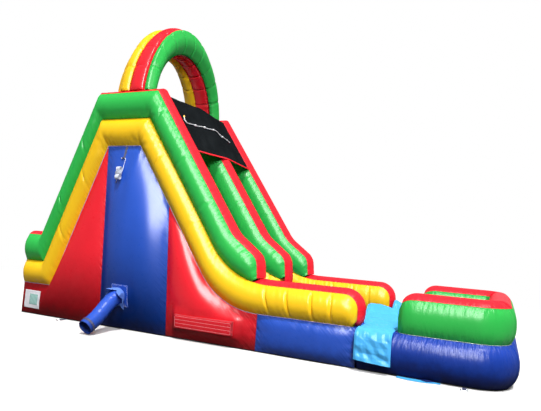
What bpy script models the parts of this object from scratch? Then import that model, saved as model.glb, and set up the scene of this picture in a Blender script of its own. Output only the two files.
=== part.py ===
"""Inflatable water slide with two lanes, a climb at the rear and a splash pool at the foot.

Metres. +X runs down the slide, +Y to the rider's left and +Z up. The origin is on the ground, at mid width,
below the middle of the deck. Every air-filled body stands for its stitched vinyl skin and the air in it.
"""

import math

import bmesh
import bpy
import numpy as np
from mathutils import Vector
from mathutils.bvhtree import BVHTree

# Clearances that more than one piece uses
GAP = 0.0003
SWING_GAP = 0.0012
CUT_OVERRUN = 0.05

# Side walls, measured at the seams between their tubes
HALF_WIDTH = 1.236
WALL_THICKNESS = 0.293
WALL_TOP = 4.0
DECK_LENGTH = 1.255
REAR_RUN = 1.045
ENTRY_LENGTH = 0.34
ENTRY_TOP = 1.436
FRONT_SLOPE = math.radians(55.3)
GREEN_REAR_DEPTH = 0.27
GREEN_DECK_DEPTH = 0.465
GREEN_FRONT_DEPTH = 0.365
YELLOW_REAR_DEPTH = 0.36
YELLOW_DECK_DEPTH = 0.475
YELLOW_FRONT_DEPTH = 0.385
ENTRY_YELLOW_TOP = 0.962
BED_HEIGHT = 0.54
ENTRY_FLOOR = 0.552
RUNOUT_TOP = 0.966
FOOT_RADIUS = 1.2
FLARE_X = 2.25
FLARE_RADIUS = 0.6
NOSE_X = 2.68
NOSE_Z = 1.34
NOSE_RADIUS = 0.22
FOOT_X = 2.71
GREEN_TIP_X = 2.628
SLIDE_END_X = 4.238
RUNOUT_NOSE_RADIUS = 0.2
RUNOUT_HEEL_RADIUS = 0.06
RUNOUT_HEEL_RISE = 0.045

# Air tubes: how far a side bulges for each metre between its seams
OUTER_BULGE_SHARE = 0.25
INNER_BULGE_SHARE = 0.17
END_BULGE_SHARE = 0.45
BULGE_SHARES = (0.22, 0.5, 0.78)
WALL_CROWN = 0.062
RUNOUT_CROWN = 0.075
CROWN_SHARES = (0.12, 0.33, 0.67, 0.88)
CROWN_POWER = 2.5
RUNOUT_CROWN_START_SHARES = (0.012, 0.8, 1.0)
RUNOUT_CROWN_END_SHARES = (1.0, 0.8, 0.35)
FOOT_CLEARANCE = 0.012
RUNOUT_CAP_OFFSET = 0.004
RUNOUT_CAP_START_SHARE = 0.25
RUN_STEPS = (1, 2, 1, 2, 1, 7, 2, 6)

# Body panels below the side walls
PANEL_THICKNESS = 0.03
CENTRE_SEAM_REAR_X = -0.17
CENTRE_SEAM_FRONT_X = 1.19
CENTRE_SEAM_TOP_X = 1.05
BASE_SEAM_X = 2.76
REAR_PANEL_BULGE = 0.13
CENTRE_PANEL_BULGE = 0.25
FRONT_PANEL_BULGE = 0.17
BASE_PANEL_BULGE = 0.07
PANEL_ROW_SHARES = (0.0, 0.06, 0.18, 0.36, 0.55, 0.73, 0.88, 0.97, 1.0)
PANEL_ROUNDNESS = 2.6
LOW_PANEL_ROUNDNESS = 4.0
CORE_DEPTH = 0.4

# Ground sheet, ramp, platform and slide bed
SHEET_THICKNESS = 0.012
SLAB_THICKNESS = 0.08
BAFFLE_THICKNESS = 0.012
BAFFLE_PORT_RADIUS = 0.2
BAFFLE_PORT_Y = 0.55
BAFFLE_PORT_Z = 0.8
RUNG_COUNT = 8
RUNG_HEIGHT = 0.11
RUNG_BASE = 0.02
RUNG_SIDE_CLEARANCE = 0.075
RUNG_POINTS = 6

# Divider between the lanes
DIVIDER_THICKNESS = 0.312
DIVIDER_START = 0.1
DIVIDER_NOSE_RISE = 0.06

# Arch over the deck
ARCH_CENTRE_Z = 3.82
ARCH_HALF_WIDTH = 1.2
ARCH_RISE = 1.67
ARCH_INNER_HALF_WIDTH = 1.0
ARCH_INNER_RISE = 1.235
ARCH_FRONT_SEAM_X = 0.294
ARCH_REAR_SEAM_X = -0.031
ARCH_FRONT_EDGE_X = 0.4
ARCH_REAR_EDGE_X = -0.26
ARCH_FRONT_BULGE = 0.05
ARCH_REAR_BULGE = 0.1
ARCH_EDGE_SHARE = 0.13
ARCH_OUTER_BULGE_SHARE = 0.13
ARCH_INNER_BULGE_SHARE = 0.08
ARCH_STEPS = 16

# Shade net and its hem, with the spray hose on it
NET_START = 0.03
NET_LENGTH = 1.15
NET_THICKNESS = 0.006
NET_EDGE_RISE = 0.002
NET_MID_RISE = 0.02
HEM_WIDTH = 0.03
HEM_THICKNESS = 0.012
NET_STEPS = 6
NET_MID_Y = 0.6
HOSE_LIFT = 0.0008
HOSE_DIAMETER = 0.016
HOSE_POINT_SPACING = 0.036
HOSE_ROUTE_SHARES = (
    (0.40870, -0.89608, 0.6250), (0.45217, -0.92047, 0.5000), (0.50000, -0.90138, 0.1875),
    (0.51130, -0.82185, 0.0000), (0.50000, -0.73171, 0.0000), (0.49739, -0.62566, 0.0000),
    (0.50000, -0.53022, 0.0000), (0.48261, -0.42418, 0.0000), (0.47391, -0.32874, 0.0000),
    (0.47826, -0.16967, 0.0000), (0.45913, 0.01060, 0.0000), (0.44348, 0.15907, 0.0000),
    (0.46522, 0.23330, 0.0000), (0.50435, 0.29162, 0.0000), (0.51478, 0.37116, 0.0000),
    (0.51478, 0.45599, 0.0000), (0.53217, 0.55143, 0.1250), (0.55652, 0.64157, 0.3125),
)
COUPLING_LENGTH = 0.042
COUPLING_SIDES = 12
COUPLING_PROFILE = ((0.0, 0.011), (0.25, 0.0165), (0.9, 0.0165), (1.0, 0.0145))

# Tethers: a sewn strap at the top of each centre panel, and the rope on the near one
TETHER_X = 0.09
TETHER_STRAP_WIDTH = 0.045
TETHER_STRAP_THICKNESS = 0.005
TETHER_STRAP_LENGTH = 0.2
TETHER_STRAP_SINK = 0.0015
STRAP_TOP_DROP = 0.012
STRAP_STEPS = 10
EYE_RADIUS = 0.011
EYE_STEPS = 10
EYE_STEP = math.radians(27)
ROPE_DIAMETER = 0.012
ROPE_DROP = 0.17
ROPE_DROP_SHARES = (0.26, 0.38, 0.5, 0.62, 0.74, 0.86)
ROPE_STUB = 0.04
ROPE_BEND_START = 0.026
ROPE_BEND_RADIUS = 0.026
ROPE_BEND_ANGLES = (math.radians(30), math.radians(60), math.radians(90))
ROPE_POINT_SPACING = 0.013
HANK_TURNS = 6
HANK_TURN_POINTS = 24
HANK_LENGTH = 0.215
HANK_FOLD_RADIUS = 0.037
HANK_WAIST_SHARE = 0.42
HANK_WAIST_LENGTH = 0.05
HANK_PITCH = 0.0138
HANK_STANDOFF = 0.005
KNOT_LENGTH = 0.022
KNOT_PROFILE = ((0.0, 0.007), (0.3, 0.0105), (0.75, 0.0105), (1.0, 0.006))
HANK_TAIL = 0.05
HANK_TAIL_SPACING = 0.022

# Ground anchors
ANCHOR_REAR_X = -0.915
ANCHOR_FRONT_X = 5.62
ANCHOR_STRAP_WIDTH = 0.05
ANCHOR_STRAP_THICKNESS = 0.004
ANCHOR_STRAP_REACH = 0.13
ANCHOR_FOLD_BACK = 0.07
ANCHOR_LAYER_GAP = 0.0006
RING_WIRE_RADIUS = 0.005
RING_WIDTH = 0.084
RING_DEPTH = 0.062
RING_CORNER_RADIUS = 0.013

# Inflation sleeve of the near centre panel
SLEEVE_X = 0.34
SLEEVE_ROOT_Z = 0.56
SLEEVE_RADIUS = 0.122
SLEEVE_WALL = 0.006
SLEEVE_SIDES = 16
SLEEVE_RUN_SHARES = (0.0, 0.10, 0.20, 0.31, 0.43, 0.56, 0.70, 0.85, 1.0)
SLEEVE_DROP_SHARES = (1.0, 0.99, 0.94, 0.83, 0.68, 0.49, 0.29, 0.14, 0.0)
SLEEVE_REST_SHARE = 0.92
SLEEVE_REACH = 0.7
SLEEVE_DRIFT = 0.05
SLEEVE_SINK = 0.06
SLEEVE_STEPS = 11
SLEEVE_CLOSED_STEPS = 5
SLEEVE_PATCH_SIDE = 0.36
SLEEVE_PATCH_THICKNESS = 0.003
COLLAR_FLARE = 0.055
COLLAR_FOLD_SHARE = 0.35
COLLAR_FLARE_SHARES = (0.0, 0.1, 0.45, 1.0)
COLLAR_FOLDS = 4
COLLAR_THICKNESS = 0.005
SLEEVE_STRAP_WIDTH = 0.035
SLEEVE_STRAP_THICKNESS = 0.004
SLEEVE_STRAP_SHARE = 0.88

# Deflation zip in the near front panel
ZIP_REAR_X = 1.42
ZIP_FRONT_X = 2.42
ZIP_LOW_Z = 0.19
ZIP_HIGH_Z = 0.39
ZIP_FACE = 0.004
ZIP_SINK = 0.12
ZIP_RIB_HEIGHT = 0.014
ZIP_RIB_WIDTH = 0.02
ZIP_MARGIN = 0.02
ZIP_TEETH_WIDTH = 0.012
ZIP_TEETH_HEIGHT = 0.003
SLIDER_LENGTH = 0.04
SLIDER_WIDTH = 0.03
SLIDER_HEIGHT = 0.005
SLIDER_CLEARANCE = 0.0006
FLAP_THICKNESS = 0.003

# Document pocket on the near rear panel
POCKET_REAR_X = -1.95
POCKET_FRONT_X = -1.55
POCKET_LOW_Z = 0.10
POCKET_HIGH_Z = 0.42
POCKET_THICKNESS = 0.004

# Splash pool
POOL_BASE_HEIGHT = 0.54
POOL_BASE_WIDTH = 0.42
POOL_WALL_TOP = 0.985
POOL_WALL_REAR_X = 4.79
POOL_FRONT_X = 6.12
POOL_FRONT_RADIUS = 0.42
POOL_REAR_RADIUS = 0.08
POOL_INNER_RADIUS = 0.06
POOL_BASE_BULGE = 0.11
POOL_BASIN_BULGE = 0.055
POOL_WALL_BULGE = 0.06
POOL_CROWN = 0.085
POOL_ARC_STEPS = 5
POOL_END_LENGTH_SHARES = (0.0, 0.3, 1.0)
POOL_END_WIDTH_SHARES = (0.55, 0.88, 1.0)
POOL_END_DROP_SHARES = (1.0, 0.3, 0.0)
POOL_END_LENGTH = 0.2
POOL_END_DROP = 0.1
POOL_END_CROWN_SHARE = 0.55

# Splash sheet over the joint between runout and pool
SPLASH_REAR_X = 4.243
SPLASH_FRONT_X = 4.735
SPLASH_THICKNESS = 0.008
SPLASH_FOLD = 0.035
SPLASH_HANG_LOW_Z = 0.15
SPLASH_HANG_STANDOFF = 0.004
SPLASH_HANG_SHARES = (0.55, 0.86)
SPLASH_HANG_SLANT = -0.03
SPLASH_HANG_FOLDS = 1.5
SPLASH_SWAY = 0.012
SPLASH_SETTLED_SHARE = 0.3
SPLASH_FAR_INSET = 0.082
SPLASH_TOP_FOLDS = 1.3
SPLASH_ACROSS_SHARES = (
    (-1.03, 0.0, 0.0), (-0.98, 0.3, 0.0), (-0.84, 1.0, 0.0), (-0.6, 0.5, 0.0), (-0.35, 0.8, 0.0),
    (-0.1, 0.2, 0.0), (0.2, 0.6, 0.0), (0.45, 0.3, 0.0), (0.64, 0.5, 0.12), (0.72, 0.2, 0.55),
    (0.85, 0.6, 1.0), (0.93, 0.3, 0.85), (0.99, 0.0, 0.45),
)
SPLASH_FAR_TOP_Z = 0.83
SPLASH_LEAN_POWER = 1.4
SPLASH_INSET_BUNCH_SHARE = 0.12
SPLASH_STEPS = 9
APRON_REAR_X = 4.80
APRON_FRONT_X = 5.34
APRON_REACH = 0.12
APRON_THICKNESS = 0.008

# Colours
GREEN = (0.045, 0.455, 0.09)
YELLOW = (0.98, 0.58, 0.02)
RED = (0.86, 0.036, 0.063)
BLUE = (0.024, 0.085, 0.45)
LIGHT_BLUE = (0.04, 0.42, 0.83)
NET_BLACK = (0.035, 0.04, 0.045)
STRAP_NAVY = (0.01, 0.018, 0.1)
ROPE_WHITE = (0.62, 0.68, 0.82)
HOSE_WHITE = (0.75, 0.77, 0.78)
STEEL = (0.6, 0.61, 0.63)
POCKET_WHITE = (0.75, 0.77, 0.85)
SHEET_BLACK = (0.03, 0.03, 0.035)
BRASS = (0.7, 0.5, 0.2)

for old in list(bpy.data.objects):
    bpy.data.objects.remove(old, do_unlink=True)


def material(name, colour, roughness=0.3, metallic=0.0):
    made = bpy.data.materials.get(name)
    if made is None:
        made = bpy.data.materials.new(name)
        made.use_nodes = True
        shader = made.node_tree.nodes["Principled BSDF"]
        shader.inputs["Base Color"].default_value = (*colour, 1.0)
        shader.inputs["Roughness"].default_value = roughness
        shader.inputs["Metallic"].default_value = metallic
    return made


MATERIALS = {
    "green_vinyl": material("green_vinyl", GREEN),
    "yellow_vinyl": material("yellow_vinyl", YELLOW),
    "red_vinyl": material("red_vinyl", RED),
    "blue_vinyl": material("blue_vinyl", BLUE),
    "light_blue_vinyl": material("light_blue_vinyl", LIGHT_BLUE),
    "shade_mesh": material("shade_mesh", NET_BLACK, 0.8),
    "navy_webbing": material("navy_webbing", STRAP_NAVY, 0.7),
    "white_rope": material("white_rope", ROPE_WHITE, 0.8),
    "hose_plastic": material("hose_plastic", HOSE_WHITE, 0.4),
    "galvanised_steel": material("galvanised_steel", STEEL, 0.35, 1.0),
    "pocket_vinyl": material("pocket_vinyl", POCKET_WHITE, 0.35),
    "ground_vinyl": material("ground_vinyl", SHEET_BLACK, 0.6),
    "brass": material("brass", BRASS, 0.3, 1.0),
}


def place(obj, finish, smooth_angle=math.radians(40)):
    """Link an object, give it its material, and smooth its round faces."""
    if obj.name not in bpy.context.scene.collection.objects:
        bpy.context.scene.collection.objects.link(obj)
    obj.data.materials.clear()
    obj.data.materials.append(MATERIALS[finish])
    if obj.type == "MESH":
        obj.data.shade_smooth()
        obj.data.set_sharp_from_angle(angle=smooth_angle)
    return obj


def mesh_object(name, points, faces, finish, origin=(0.0, 0.0, 0.0)):
    """One closed body from points and faces, with its normals out and its origin where asked."""
    shape = bmesh.new()
    corners = [shape.verts.new(Vector(point) - Vector(origin)) for point in points]
    for face in faces:
        shape.faces.new([corners[i] for i in face])
    bmesh.ops.recalc_face_normals(shape, faces=shape.faces)
    bmesh.ops.triangulate(shape, faces=shape.faces, quad_method="FIXED")
    mesh = bpy.data.meshes.new(name)
    shape.to_mesh(mesh)
    shape.free()
    obj = bpy.data.objects.new(name, mesh)
    obj.location = origin
    return place(obj, finish)


def loft(name, rings, finish, joined=False, origin=(0.0, 0.0, 0.0)):
    """A skin over rings of equal counts, closed at both ends or joined end to end."""
    count = len(rings[0])
    points = [point for ring in rings for point in ring]
    faces = []
    spans = len(rings) if joined else len(rings) - 1
    for i in range(spans):
        here = i * count
        after = ((i + 1) % len(rings)) * count
        for j in range(count):
            k = (j + 1) % count
            faces.append((here + j, here + k, after + k, after + j))
    if not joined:
        faces.append(tuple(range(count)))
        faces.append(tuple(range((len(rings) - 1) * count, len(rings) * count)))
    return mesh_object(name, points, faces, finish, origin)


def box(name, low, high, finish, origin=(0.0, 0.0, 0.0)):
    x0, y0, z0 = low
    x1, y1, z1 = high
    ring = [(y0, z0), (y1, z0), (y1, z1), (y0, z1)]
    return loft(name, [[(x, y, z) for y, z in ring] for x in (x0, x1)], finish, origin=origin)


def prism(name, outline, y0, y1, finish, origin=(0.0, 0.0, 0.0)):
    """An outline in the x, z plane carried across from y0 to y1."""
    return loft(name, [[(x, y, z) for x, z in outline] for y in (y0, y1)], finish, origin=origin)


def cutter(obj):
    obj.hide_render = True
    obj.display_type = "WIRE"
    return obj


def cut(obj, tool, operation="DIFFERENCE"):
    modifier = obj.modifiers.new(tool.name, "BOOLEAN")
    modifier.operation = operation
    modifier.solver = "EXACT"
    modifier.object = cutter(tool)


def shifted_copy(carrier, side, distance):
    """The carrier's solid moved outward, as a tool that cuts or keeps what lies on its skin."""
    name = f"{carrier.name}_moved_{round(distance * 1e5)}"
    copy = bpy.data.objects.get(name)
    if copy is None:
        copy = bpy.data.objects.new(name, carrier.data)
        copy.location = carrier.location + Vector((0.0, side * distance, 0.0))
        bpy.context.scene.collection.objects.link(copy)
    return cutter(copy)


def layer(name, outline, carrier, side, lift, thickness, finish):
    """A flat-cut piece sewn to a bulging panel: it takes the panel's own curve."""
    reach = HALF_WIDTH + CENTRE_PANEL_BULGE + CUT_OVERRUN
    blank = prism(name, outline, side * (HALF_WIDTH - PANEL_THICKNESS), side * reach, finish)
    cut(blank, shifted_copy(carrier, side, lift + thickness), "INTERSECT")
    cut(blank, shifted_copy(carrier, side, lift), "DIFFERENCE")
    return blank


# Outlines in the x, z plane


def unit(v):
    return v / np.linalg.norm(v)


def trace(corners, radii, step=math.radians(7)):
    """A line through corners, each rounded to its radius. The two ends have none."""
    corners = [np.array(c, float) for c in corners]
    points = [corners[0]]
    for i in range(1, len(corners) - 1):
        back = unit(corners[i - 1] - corners[i])
        ahead = unit(corners[i + 1] - corners[i])
        turn = math.pi - math.acos(float(np.clip(back @ ahead, -1, 1)))
        radius = radii[i - 1]
        if radius == 0 or turn < 1e-6:
            points.append(corners[i])
            continue
        reach = radius * math.tan(turn / 2)
        centre = corners[i] + unit(back + ahead) * radius / math.cos(turn / 2)
        first = corners[i] + back * reach - centre
        last = corners[i] + ahead * reach - centre
        count = max(2, math.ceil(turn / step))
        for k in range(count + 1):
            share = k / count
            mixed = first * math.sin((1 - share) * turn) + last * math.sin(share * turn)
            points.append(centre + mixed / math.sin(turn))
    points.append(corners[-1])
    return np.array(points)


def resample(path, steps):
    """The path's points, evenly spaced along it."""
    lengths = np.concatenate([[0], np.cumsum(np.linalg.norm(np.diff(path, axis=0), axis=1))])
    at = np.linspace(0, lengths[-1], steps + 1)
    return np.stack([np.interp(at, lengths, path[:, k]) for k in range(path.shape[1])], axis=1)


def portion(path, x_from, x_to, steps):
    """The stretch of a line that runs forward in x, between two x, evenly resampled."""
    inside = path[(path[:, 0] > x_from) & (path[:, 0] < x_to)]
    ends = [[x, np.interp(x, path[:, 0], path[:, 1])] for x in (x_from, x_to)]
    return resample(np.vstack([ends[0], inside, ends[1]]), steps)


def rail(path, breaks):
    """A line split at its breaks, with the counts of steps that all rails share."""
    points = []
    for x_from, x_to, steps in zip(breaks, breaks[1:], RUN_STEPS):
        points += list(portion(path, x_from, x_to, steps)[:-1])
    points.append(np.array([breaks[-1], np.interp(breaks[-1], path[:, 0], path[:, 1])]))
    return np.array(points)


def normals_of(points):
    """Upward normals, stretched at the corners so that an offset keeps its width on both sides."""
    ahead = np.diff(points, axis=0)
    ahead = ahead / np.linalg.norm(ahead, axis=1)[:, None]
    side = np.stack([-ahead[:, 1], ahead[:, 0]], axis=1)
    first = np.vstack([side[:1], side])
    last = np.vstack([side, side[-1:]])
    both = first + last
    return both / (1 + np.sum(first * last, axis=1))[:, None]


def shifted(points, distance):
    return points + normals_of(points) * distance


REAR_SLOPE = math.atan2(WALL_TOP - ENTRY_TOP, REAR_RUN)
DECK_REAR_X = -DECK_LENGTH / 2
DECK_FRONT_X = DECK_LENGTH / 2
ENTRY_X = DECK_REAR_X - REAR_RUN
REAR_X = ENTRY_X - ENTRY_LENGTH
INNER_Y = HALF_WIDTH - WALL_THICKNESS
FOOT_TIP_Z = RUNOUT_TOP + RUNOUT_CROWN + FOOT_CLEARANCE
CREST = WALL_CROWN * (1 - abs(2 * CROWN_SHARES[1] - 1) ** CROWN_POWER) + 2 * GAP


def rear_line_x(z, depth):
    return ENTRY_X + (z - ENTRY_TOP) / math.tan(REAR_SLOPE) + depth / math.sin(REAR_SLOPE)


def front_line_x(z, depth):
    return DECK_FRONT_X + (WALL_TOP - z) / math.tan(FRONT_SLOPE) - depth / math.sin(FRONT_SLOPE)


def front_line_z(x, depth):
    return WALL_TOP - (x - DECK_FRONT_X + depth / math.sin(FRONT_SLOPE)) * math.tan(FRONT_SLOPE)


def side_line(entry_z, deck_z, foot_z, rear_depth, front_depth):
    corners = [
        (REAR_X, entry_z),
        (rear_line_x(entry_z, rear_depth), entry_z),
        (rear_line_x(deck_z, rear_depth), deck_z),
        (front_line_x(deck_z, front_depth), deck_z),
        (front_line_x(foot_z, front_depth), foot_z),
        (SLIDE_END_X, foot_z),
    ]
    curve_start = corners[4][0] - FOOT_RADIUS * math.tan(FRONT_SLOPE / 2) * math.cos(FRONT_SLOPE)
    return corners, curve_start


def side_rails():
    """The three seam lines of a side wall: its top, green on yellow, and yellow on the body."""
    green_deck_z = WALL_TOP - GREEN_DECK_DEPTH
    body_deck_z = green_deck_z - YELLOW_DECK_DEPTH
    rear_depth = GREEN_REAR_DEPTH + YELLOW_REAR_DEPTH
    front_depth = GREEN_FRONT_DEPTH + YELLOW_FRONT_DEPTH
    middle, middle_curve = side_line(
        ENTRY_YELLOW_TOP, green_deck_z, RUNOUT_TOP, GREEN_REAR_DEPTH, GREEN_FRONT_DEPTH
    )
    body, body_curve = side_line(ENTRY_FLOOR, body_deck_z, BED_HEIGHT, rear_depth, front_depth)
    top_corners = [
        (REAR_X, ENTRY_TOP),
        (ENTRY_X, ENTRY_TOP),
        (DECK_REAR_X, WALL_TOP),
        (DECK_FRONT_X, WALL_TOP),
        (FLARE_X, front_line_z(FLARE_X, 0)),
        (NOSE_X, NOSE_Z),
        (FOOT_X, FOOT_TIP_Z),
    ]
    top_line = trace(top_corners, (0, 0, 0, FLARE_RADIUS, NOSE_RADIUS))
    middle_line = trace(middle, (0, 0, 0, FOOT_RADIUS))
    body_line = trace(body, (0, 0, 0, FOOT_RADIUS))
    out = math.sin(FRONT_SLOPE)
    flare_turn = FRONT_SLOPE - math.atan2(top_corners[4][1] - NOSE_Z, NOSE_X - FLARE_X)
    flare_start = FLARE_X - FLARE_RADIUS * math.tan(flare_turn / 2) * math.cos(FRONT_SLOPE)
    breaks = [REAR_X, ENTRY_X, DECK_REAR_X, DECK_FRONT_X, CENTRE_SEAM_TOP_X + front_depth * out]
    top = rail(top_line, breaks + [flare_start, FOOT_X])
    nose_x = SLIDE_END_X - RUNOUT_NOSE_RADIUS
    seam_x = CENTRE_SEAM_TOP_X + YELLOW_FRONT_DEPTH * out
    breaks = [REAR_X, middle[1][0], middle[2][0], middle[3][0], seam_x, middle_curve, GREEN_TIP_X, nose_x]
    heel = BED_HEIGHT + RUNOUT_HEEL_RISE
    nose_corners = [
        (nose_x, RUNOUT_TOP),
        (SLIDE_END_X, RUNOUT_TOP),
        (SLIDE_END_X, heel),
        (SLIDE_END_X - RUNOUT_HEEL_RADIUS, heel),
    ]
    nose = resample(trace(nose_corners, (RUNOUT_NOSE_RADIUS, RUNOUT_HEEL_RADIUS)), RUN_STEPS[7])
    green_yellow = np.vstack([rail(middle_line, breaks)[:-1], nose])
    yellow_end_x = SLIDE_END_X - RUNOUT_HEEL_RADIUS
    breaks = [REAR_X, body[1][0], body[2][0], body[3][0], CENTRE_SEAM_TOP_X, body_curve, BASE_SEAM_X, nose_x]
    yellow_body = rail(body_line, breaks + [yellow_end_x])
    return top, green_yellow, yellow_body


TOP_RAIL, MIDDLE_RAIL, BODY_RAIL = side_rails()
REAR_TOE, DECK_REAR, DECK_FRONT, CENTRE_SEAM = np.cumsum(RUN_STEPS)[:4]
CURVE_START, FOOT_END, NOSE_START, RAIL_END = np.cumsum(RUN_STEPS)[4:]


# Air tubes of the walls and the divider


def tube_rings(low, high, y_inner, y_outer, inner_share, outer_share, end_shares=(1.0, 1.0)):
    """Sections between two rails: flat below and above, bulging at both sides."""
    rings = []
    for i, (a, b) in enumerate(zip(low, high)):
        end = {0: end_shares[0], len(low) - 1: end_shares[1]}.get(i, 1.0)
        chord = np.linalg.norm(b - a) * end
        out = math.copysign(1.0, y_outer - y_inner)
        ring = [(a[0], y_inner, a[1]), (a[0], y_outer, a[1])]
        for share in BULGE_SHARES:
            x, z = a + (b - a) * share
            swell = 4 * share * (1 - share) * outer_share * chord
            ring.append((x, y_outer + out * swell, z))
        ring += [(b[0], y_outer, b[1]), (b[0], y_inner, b[1])]
        for share in reversed(BULGE_SHARES):
            x, z = a + (b - a) * share
            swell = 4 * share * (1 - share) * inner_share * chord
            ring.append((x, y_inner - out * swell, z))
        rings.append(ring)
    return rings


def cap_rings(line, y_inner, y_outer, crowns):
    """Sections of a cap: flat on its tube, crowned away from it."""
    rings = []
    for point, normal, crown in zip(shifted(line, GAP), normals_of(line), crowns):
        ring = [(point[0], y_outer, point[1]), (point[0], y_inner, point[1])]
        for share in CROWN_SHARES:
            height = crown * (1 - abs(2 * share - 1) ** CROWN_POWER)
            x, z = point + normal * height
            ring.append((x, y_inner + (y_outer - y_inner) * share, z))
        rings.append(ring)
    return rings


def build_side_wall(word, side):
    inner = side * INNER_Y
    outer = side * HALF_WIDTH
    bulges = (inner, outer, INNER_BULGE_SHARE, OUTER_BULGE_SHARE, (END_BULGE_SHARE, 1.0))
    yellow = tube_rings(BODY_RAIL, shifted(MIDDLE_RAIL, -GAP), *bulges)
    loft(f"{word}_lower_tube", yellow, "yellow_vinyl")
    green = tube_rings(MIDDLE_RAIL[: FOOT_END + 1], TOP_RAIL, *bulges)
    loft(f"{word}_upper_tube", green, "green_vinyl")
    loft(f"{word}_wall_cap", cap_rings(TOP_RAIL, inner, outer, [WALL_CROWN] * len(TOP_RAIL)), "red_vinyl")
    line = MIDDLE_RAIL[FOOT_END:].copy()
    line[0] += unit(line[1] - line[0]) * RUNOUT_CAP_OFFSET
    start = line[0] + (line[1] - line[0]) * RUNOUT_CAP_START_SHARE
    line = np.vstack([line[:1], [start], line[1:]])
    full = len(line) - len(RUNOUT_CROWN_START_SHARES) - len(RUNOUT_CROWN_END_SHARES)
    shares = [*RUNOUT_CROWN_START_SHARES, *[1.0] * full, *RUNOUT_CROWN_END_SHARES]
    crowns = [RUNOUT_CROWN * share for share in shares]
    loft(f"{word}_runout_cap", cap_rings(line, inner, outer, crowns), "red_vinyl")


def build_divider():
    half = DIVIDER_THICKNESS / 2
    start = DIVIDER_START * math.cos(FRONT_SLOPE)
    top_part = portion(TOP_RAIL, DECK_FRONT_X + start, TOP_RAIL[CENTRE_SEAM][0], 1)[:-1]
    top_line = np.vstack([top_part, TOP_RAIL[CENTRE_SEAM:]])
    middle_start = MIDDLE_RAIL[DECK_FRONT][0] + start
    middle_part = portion(MIDDLE_RAIL[: FOOT_END + 1], middle_start, MIDDLE_RAIL[CENTRE_SEAM][0], 1)[:-1]
    middle_line = np.vstack([middle_part, MIDDLE_RAIL[CENTRE_SEAM : FOOT_END + 1]])
    body_start = BODY_RAIL[DECK_FRONT][0] + start
    body_part = portion(BODY_RAIL[: FOOT_END + 1], body_start, BODY_RAIL[CENTRE_SEAM][0], 1)[:-1]
    body_line = np.vstack([body_part, BODY_RAIL[CENTRE_SEAM : FOOT_END + 1]])
    body_line[-1] = (FOOT_X, np.interp(FOOT_X, BODY_RAIL[:, 0], BODY_RAIL[:, 1]))
    bulges = (-half, half, INNER_BULGE_SHARE, INNER_BULGE_SHARE, (END_BULGE_SHARE, 1.0))
    green = tube_rings(middle_line, top_line, *bulges)
    loft("divider_upper_tube", green, "green_vinyl")
    yellow = tube_rings(body_line, shifted(middle_line, -GAP), *bulges)
    loft("divider_lower_tube", yellow, "yellow_vinyl")
    foot = [(FOOT_X + GAP, BED_HEIGHT + DIVIDER_NOSE_RISE)]
    cap_line = np.vstack([top_line, foot])
    loft("divider_cap", cap_rings(cap_line, -half, half, [WALL_CROWN] * len(cap_line)), "red_vinyl")


# Body panels, and what closes the body between them


def panel(name, side, tops, bottom_rear_x, bottom_front_x, bulge, roundness, finish):
    """A skin from the ground to the yellow tube's seam, drawn in at its edges and bulging between them.

    Beside it, a hidden core with the same outer face trims what is sewn to the panel.
    """
    lengths = np.concatenate([[0], np.cumsum(np.linalg.norm(np.diff(tops, axis=0), axis=1))])
    tallest = tops[:, 1].max()
    floor = SHEET_THICKNESS + GAP
    columns = []
    for share, top in zip(lengths / lengths[-1], shifted(tops, -GAP)):
        bottom = bottom_rear_x + GAP + (bottom_front_x - bottom_rear_x - 2 * GAP) * share
        top_x = top[0] + GAP * (1 - 2 * share)
        across = 1 - abs(2 * share - 1) ** roundness
        swell = bulge * across * math.sqrt(top[1] / tallest)
        column = []
        for row in PANEL_ROW_SHARES:
            y = HALF_WIDTH + swell * (1 - abs(2 * row - 1) ** roundness)
            column.append((bottom + (top_x - bottom) * row, y, floor + (top[1] - floor) * row))
        columns.append(column)

    def rings(depth):
        made = []
        for column in columns:
            face = [(x, side * y, z) for x, y, z in column]
            made.append(face + [(x, side * (y - depth), z) for x, y, z in column[::-1]])
        return made

    core = cutter(loft(f"{name}_core", rings(CORE_DEPTH), finish))
    return loft(name, rings(PANEL_THICKNESS), finish), core


def fine(line, pieces):
    """The same line with each of its stretches split in equal pieces."""
    points = [line[0]]
    for a, b in zip(line, line[1:]):
        points += [a + (b - a) * (k + 1) / pieces for k in range(pieces)]
    return np.array(points)


def build_panels(word, side):
    end = np.array([[SLIDE_END_X, BED_HEIGHT]])
    rear = fine(BODY_RAIL[: DECK_REAR + 1], 2)
    deck = fine(BODY_RAIL[DECK_REAR : DECK_FRONT + 1], 3)
    centre = np.vstack([deck, fine(BODY_RAIL[DECK_FRONT : CENTRE_SEAM + 1], 2)[1:]])
    slope = fine(BODY_RAIL[CENTRE_SEAM : CURVE_START + 1], 4)
    front = np.vstack([slope, BODY_RAIL[CURVE_START + 1 : FOOT_END + 1]])
    base = np.vstack([fine(BODY_RAIL[FOOT_END : NOSE_START + 1], 3), end])
    seams = (REAR_X, CENTRE_SEAM_REAR_X, CENTRE_SEAM_FRONT_X, BASE_SEAM_X, SLIDE_END_X)
    makes = (
        ("rear", rear, REAR_PANEL_BULGE, PANEL_ROUNDNESS, "red_vinyl"),
        ("centre", centre, CENTRE_PANEL_BULGE, PANEL_ROUNDNESS, "blue_vinyl"),
        ("front", front, FRONT_PANEL_BULGE, LOW_PANEL_ROUNDNESS, "red_vinyl"),
        ("base", base, BASE_PANEL_BULGE, LOW_PANEL_ROUNDNESS, "blue_vinyl"),
    )
    made = {}
    for (place, line, bulge, roundness, finish), low_x, high_x in zip(makes, seams, seams[1:]):
        made[place] = panel(f"{word}_{place}_panel", side, line, low_x, high_x, bulge, roundness, finish)[1]
    return made


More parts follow.
